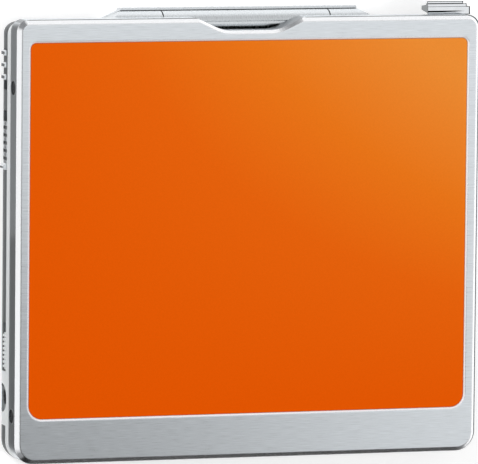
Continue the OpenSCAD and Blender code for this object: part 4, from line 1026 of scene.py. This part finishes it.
def terrace(mesh, scooped, front, back, drop, length, front_edge, rear_edge, end_edge):
    """One terrace of the lever, with its edges broken by the given widths."""
    under = [(y, between(UNDERSIDE, y)) for y in (front, back)]
    under[1:1] = [point for point in UNDERSIDE if front < point[0] < back]
    stops = [(0.0, LEFT_EDGE), (LEFT_EDGE, 0.0)]
    stops += [(x, 0.0) for x, _ in SCOOP[1:]] if scooped else []
    stops += [(length - end_edge, 0.0), (length, end_edge)]
    stations = []
    for x, lower in stops:
        top = [(front, -drop - front_edge), (front + front_edge, -drop)]
        if scooped:
            bottom = -drop - between(SCOOP, x)
            top += [(SCOOP_FRONT, -drop), (SCOOP_BOTTOM, bottom), (SCOOP_REAR, -drop)]
        top += [(back - rear_edge, -drop), (back, -drop - rear_edge)]
        section = [(y, z - lower) for y, z in top] + under[::-1]
        place_x = lever_low.x + x * MM
        stations.append([(place_x, rear_wall + y * MM, lever_high.z + z * MM) for y, z in section])
    loft(mesh, stations)


def block(mesh, span, low, high):
    """A plain box, from two distances to the right of the lever's left end and two corners in Y and Z."""
    section = [(low[0], low[1]), (high[0], low[1]), (high[0], high[1]), (low[0], high[1])]
    loft(mesh, [[(lever_low.x + x * MM, y, z) for y, z in section] for x in span])


# %% Play lever
TERRACES = [
    # front, back, drop, length, and the widths of the broken edges in front, behind and at the right end
    (-0.17, 1.13, 0.0, 7.44, 0.12, 0.03, 0.3),
    (1.13, 1.62, 0.12, 6.85, 0.03, 0.08, 0.2),
    (1.62, 2.03, 0.24, 6.27, 0.08, 0.1, 0.2),
]
STEM_SPAN, FLANGE_SPAN = (2.2, 5.1), (1.4, 5.6)
STEM_HEIGHT, FLANGE_DEPTH, OVERLAP = 1.2 * MM, 0.5 * MM, 0.2 * MM
bar = bmesh.new()
for measures in TERRACES:
    terrace(bar, measures is TERRACES[0], *measures)
stem_top, stem_rear = lever_high.z - 1.88 * MM, rear_wall + 0.72 * MM
flange_rear = lever_low.y + FLANGE_DEPTH
block(bar, STEM_SPAN, (flange_rear - OVERLAP, stem_top - STEM_HEIGHT), (stem_rear, stem_top))
block(bar, FLANGE_SPAN, (lever_low.y, lever_low.z), (flange_rear, stem_top))
lever_mesh = kept_mesh("terraced_lever", bar)
lever_mesh.materials.append(lever_chrome)
terraced_lever = in_scene("terraced_lever", lever_mesh)
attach(terraced_lever, "play_lever")
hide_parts("play_lever")
print("lever has", len(lever_mesh.polygons), "faces")

# %% [markdown]
# The floor is a plain pale sheet. The camera, mirror-like surfaces and glass see it and the room lifted
# to white, and it still darkens under the player, so the object stands on something.


# %% Floor and surroundings
WHITE = linear("#FFFFFF")


def split_by_ray(tree, lighting, seen, output):
    """Shows one shader to camera, glossy and transmission rays, and another to those that light things."""
    path = add_node(tree, "ShaderNodeLightPath")
    first = maths(tree, "MAXIMUM", (path, "Is Camera Ray"), (path, "Is Glossy Ray"))
    direct = maths(tree, "MAXIMUM", first, (path, "Is Transmission Ray"))
    choice = add_node(tree, "ShaderNodeMixShader", {0: direct, 1: (lighting, 0), 2: (seen, 0)})
    add_node(tree, output, {"Surface": (choice, 0)})


floor_material, tree = new_material("pale_paper_floor")
sheet = add_node(tree, "ShaderNodeBsdfDiffuse", {"Color": linear("#F4F4F4")})
glow = add_node(tree, "ShaderNodeEmission", {"Color": WHITE, "Strength": 0.35})
both = add_node(tree, "ShaderNodeAddShader", {0: (sheet, 0), 1: (glow, 0)})
split_by_ray(tree, sheet, both, "ShaderNodeOutputMaterial")
bpy.ops.mesh.primitive_plane_add(size=6, location=(0, 0, -0.02 * MM))
floor = bpy.context.object
floor.name = "floor"
floor.data.materials.append(floor_material)

world = bpy.data.worlds.new("studio")
bpy.context.scene.world = world
world.use_nodes = True
tree = world.node_tree
tree.nodes.clear()
room = add_node(tree, "ShaderNodeBackground", {"Color": WHITE, "Strength": 0.40})
white = add_node(tree, "ShaderNodeBackground", {"Color": WHITE, "Strength": 1.0})
split_by_ray(tree, room, white, "ShaderNodeOutputWorld")

# %% [markdown]
# Brushed metal shows what it mirrors, and in a white room that is plain white. Grey cards stand round
# the player, as in a product studio, and only mirror-like surfaces see them. The one overhead gives the
# lid its fade from pale at the hinge to grey at the front. The three that lie flat beside the player are
# painted shade: they lie where its shadow falls on the floor, and darken the lid's walls in reflection.
# The low one in front darkens the front edge, and the one behind gives the hinge barrel its round look.


# %% Cards that only reflections see
def card(name, corners, shade):
    """A flat grey card between four corners; it has its own brightness and casts no shadow."""
    material, tree = new_material(name + "_grey")
    glow = add_node(tree, "ShaderNodeEmission", {"Color": WHITE, "Strength": shade})
    add_node(tree, "ShaderNodeOutputMaterial", {"Surface": (glow, 0)})
    mesh = bpy.data.meshes.new(name)
    mesh.from_pydata([tuple(corner) for corner in corners], [], [(0, 1, 2, 3)])
    mesh.materials.append(material)
    piece = in_scene(name, mesh)
    piece.visible_camera = piece.visible_diffuse = piece.visible_shadow = False
    piece.visible_transmission = piece.visible_volume_scatter = False


def level(x, y, z):
    """Corners of a level card, from ranges in x and y."""
    return [(x[0], y[0], z), (x[1], y[0], z), (x[1], y[1], z), (x[0], y[1], z)]


case_low, case_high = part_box("bottom_cabinet")
left_strip = (case_low.x - 0.035, case_low.x - 0.001)
right_strip = (case_high.x + 0.001, case_high.x + 0.018)
ABOVE_FLOOR = 0.1 * MM
card("overhead_card", level((-0.30, 0.10), (-0.45, -0.035), 0.30), 0.24)
# The next three lie flat on the floor as painted shade, where the player's shadow falls beside it.
card("left_rear_card", level(left_strip, (0.0, 0.06), ABOVE_FLOOR), 0.22)
card("left_front_card", level(left_strip, (-0.09, 0.0), ABOVE_FLOOR), 0.115)
card("right_card", level(right_strip, (-0.05, 0.06), ABOVE_FLOOR), 0.03)
front = case_low.y - 0.025
slanted = [(-0.052, front, 0.0), (0.10, front, 0.0), (0.10, front, 0.035), (-0.052, front, 0.05)]
card("front_card", slanted, 0.07)
card("rear_card", [(-0.5, 0.6, 0.17), (0.9, 0.6, 0.17), (0.9, 0.6, 0.75), (-0.5, 0.6, 0.75)], 0.72)

# %% [markdown]
# The lamps light what isn't mirror-like. The key stands behind on the left, and a fill on the right
# softens its shadow. Reflections don't show them.


# %% Lamps
def softbox(name, place, aim, size, radiance):
    """A rectangular lamp, turned towards a point; its brightness is what a mirror would show."""
    light = bpy.data.lights.new(name, "AREA")
    light.shape = "RECTANGLE"
    light.size, light.size_y = size
    light.energy = radiance * math.pi * size[0] * size[1]
    lamp = in_scene(name, light)
    lamp.location = place
    lamp.rotation_euler = (Vector(aim) - Vector(place)).to_track_quat("-Z", "Y").to_euler()
    lamp.visible_glossy = False


softbox("left_key", (-0.45, 0.35, 0.55), (0.0, 0.0, 0.0), (0.35, 0.35), 8.5)
softbox("right_fill", (0.50, -0.10, 0.55), (0.0, 0.0, 0.0), (0.35, 0.35), 5.5)

# %% [markdown]
# The camera stands where a catalogue shot of this player would be taken: a little over a metre away, to
# the left of the lid's normal and slightly towards the hinge. The angles were solved from the outline
# of the lid, so the picture's edges land where they should.

# %% Camera
CASE_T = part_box("lid_shell")[1].z
CAMERA_DISTANCE, YAW, PITCH, ROLL = 1.100, 17.95, 5.61, -0.55
SIDE_STEP = Vector((1.79 * MM, -1.07 * MM, 0))
FOCAL_IN_WIDTHS = 6772 / 478
yaw, pitch, roll = (math.radians(a) for a in (YAW, PITCH, ROLL))
turn = Matrix.Rotation(roll, 3, "Z") @ Matrix.Rotation(pitch, 3, "X") @ Matrix.Rotation(yaw, 3, "Y")
back = turn.transposed()
camera_data = bpy.data.cameras.new("camera")
camera_data.sensor_width = 36
camera_data.lens = FOCAL_IN_WIDTHS * camera_data.sensor_width
camera_data.clip_start, camera_data.clip_end = 0.01, 20
camera = in_scene("camera", camera_data)
spot = back @ (Vector((0, 0, CAMERA_DISTANCE)) - SIDE_STEP) + Vector((0, 0, CASE_T))
camera.matrix_world = Matrix.Translation(spot) @ back.to_4x4()
bpy.context.scene.camera = camera
bpy.context.scene.view_settings.view_transform = "Standard"
print("camera at", [round(v, 3) for v in spot])
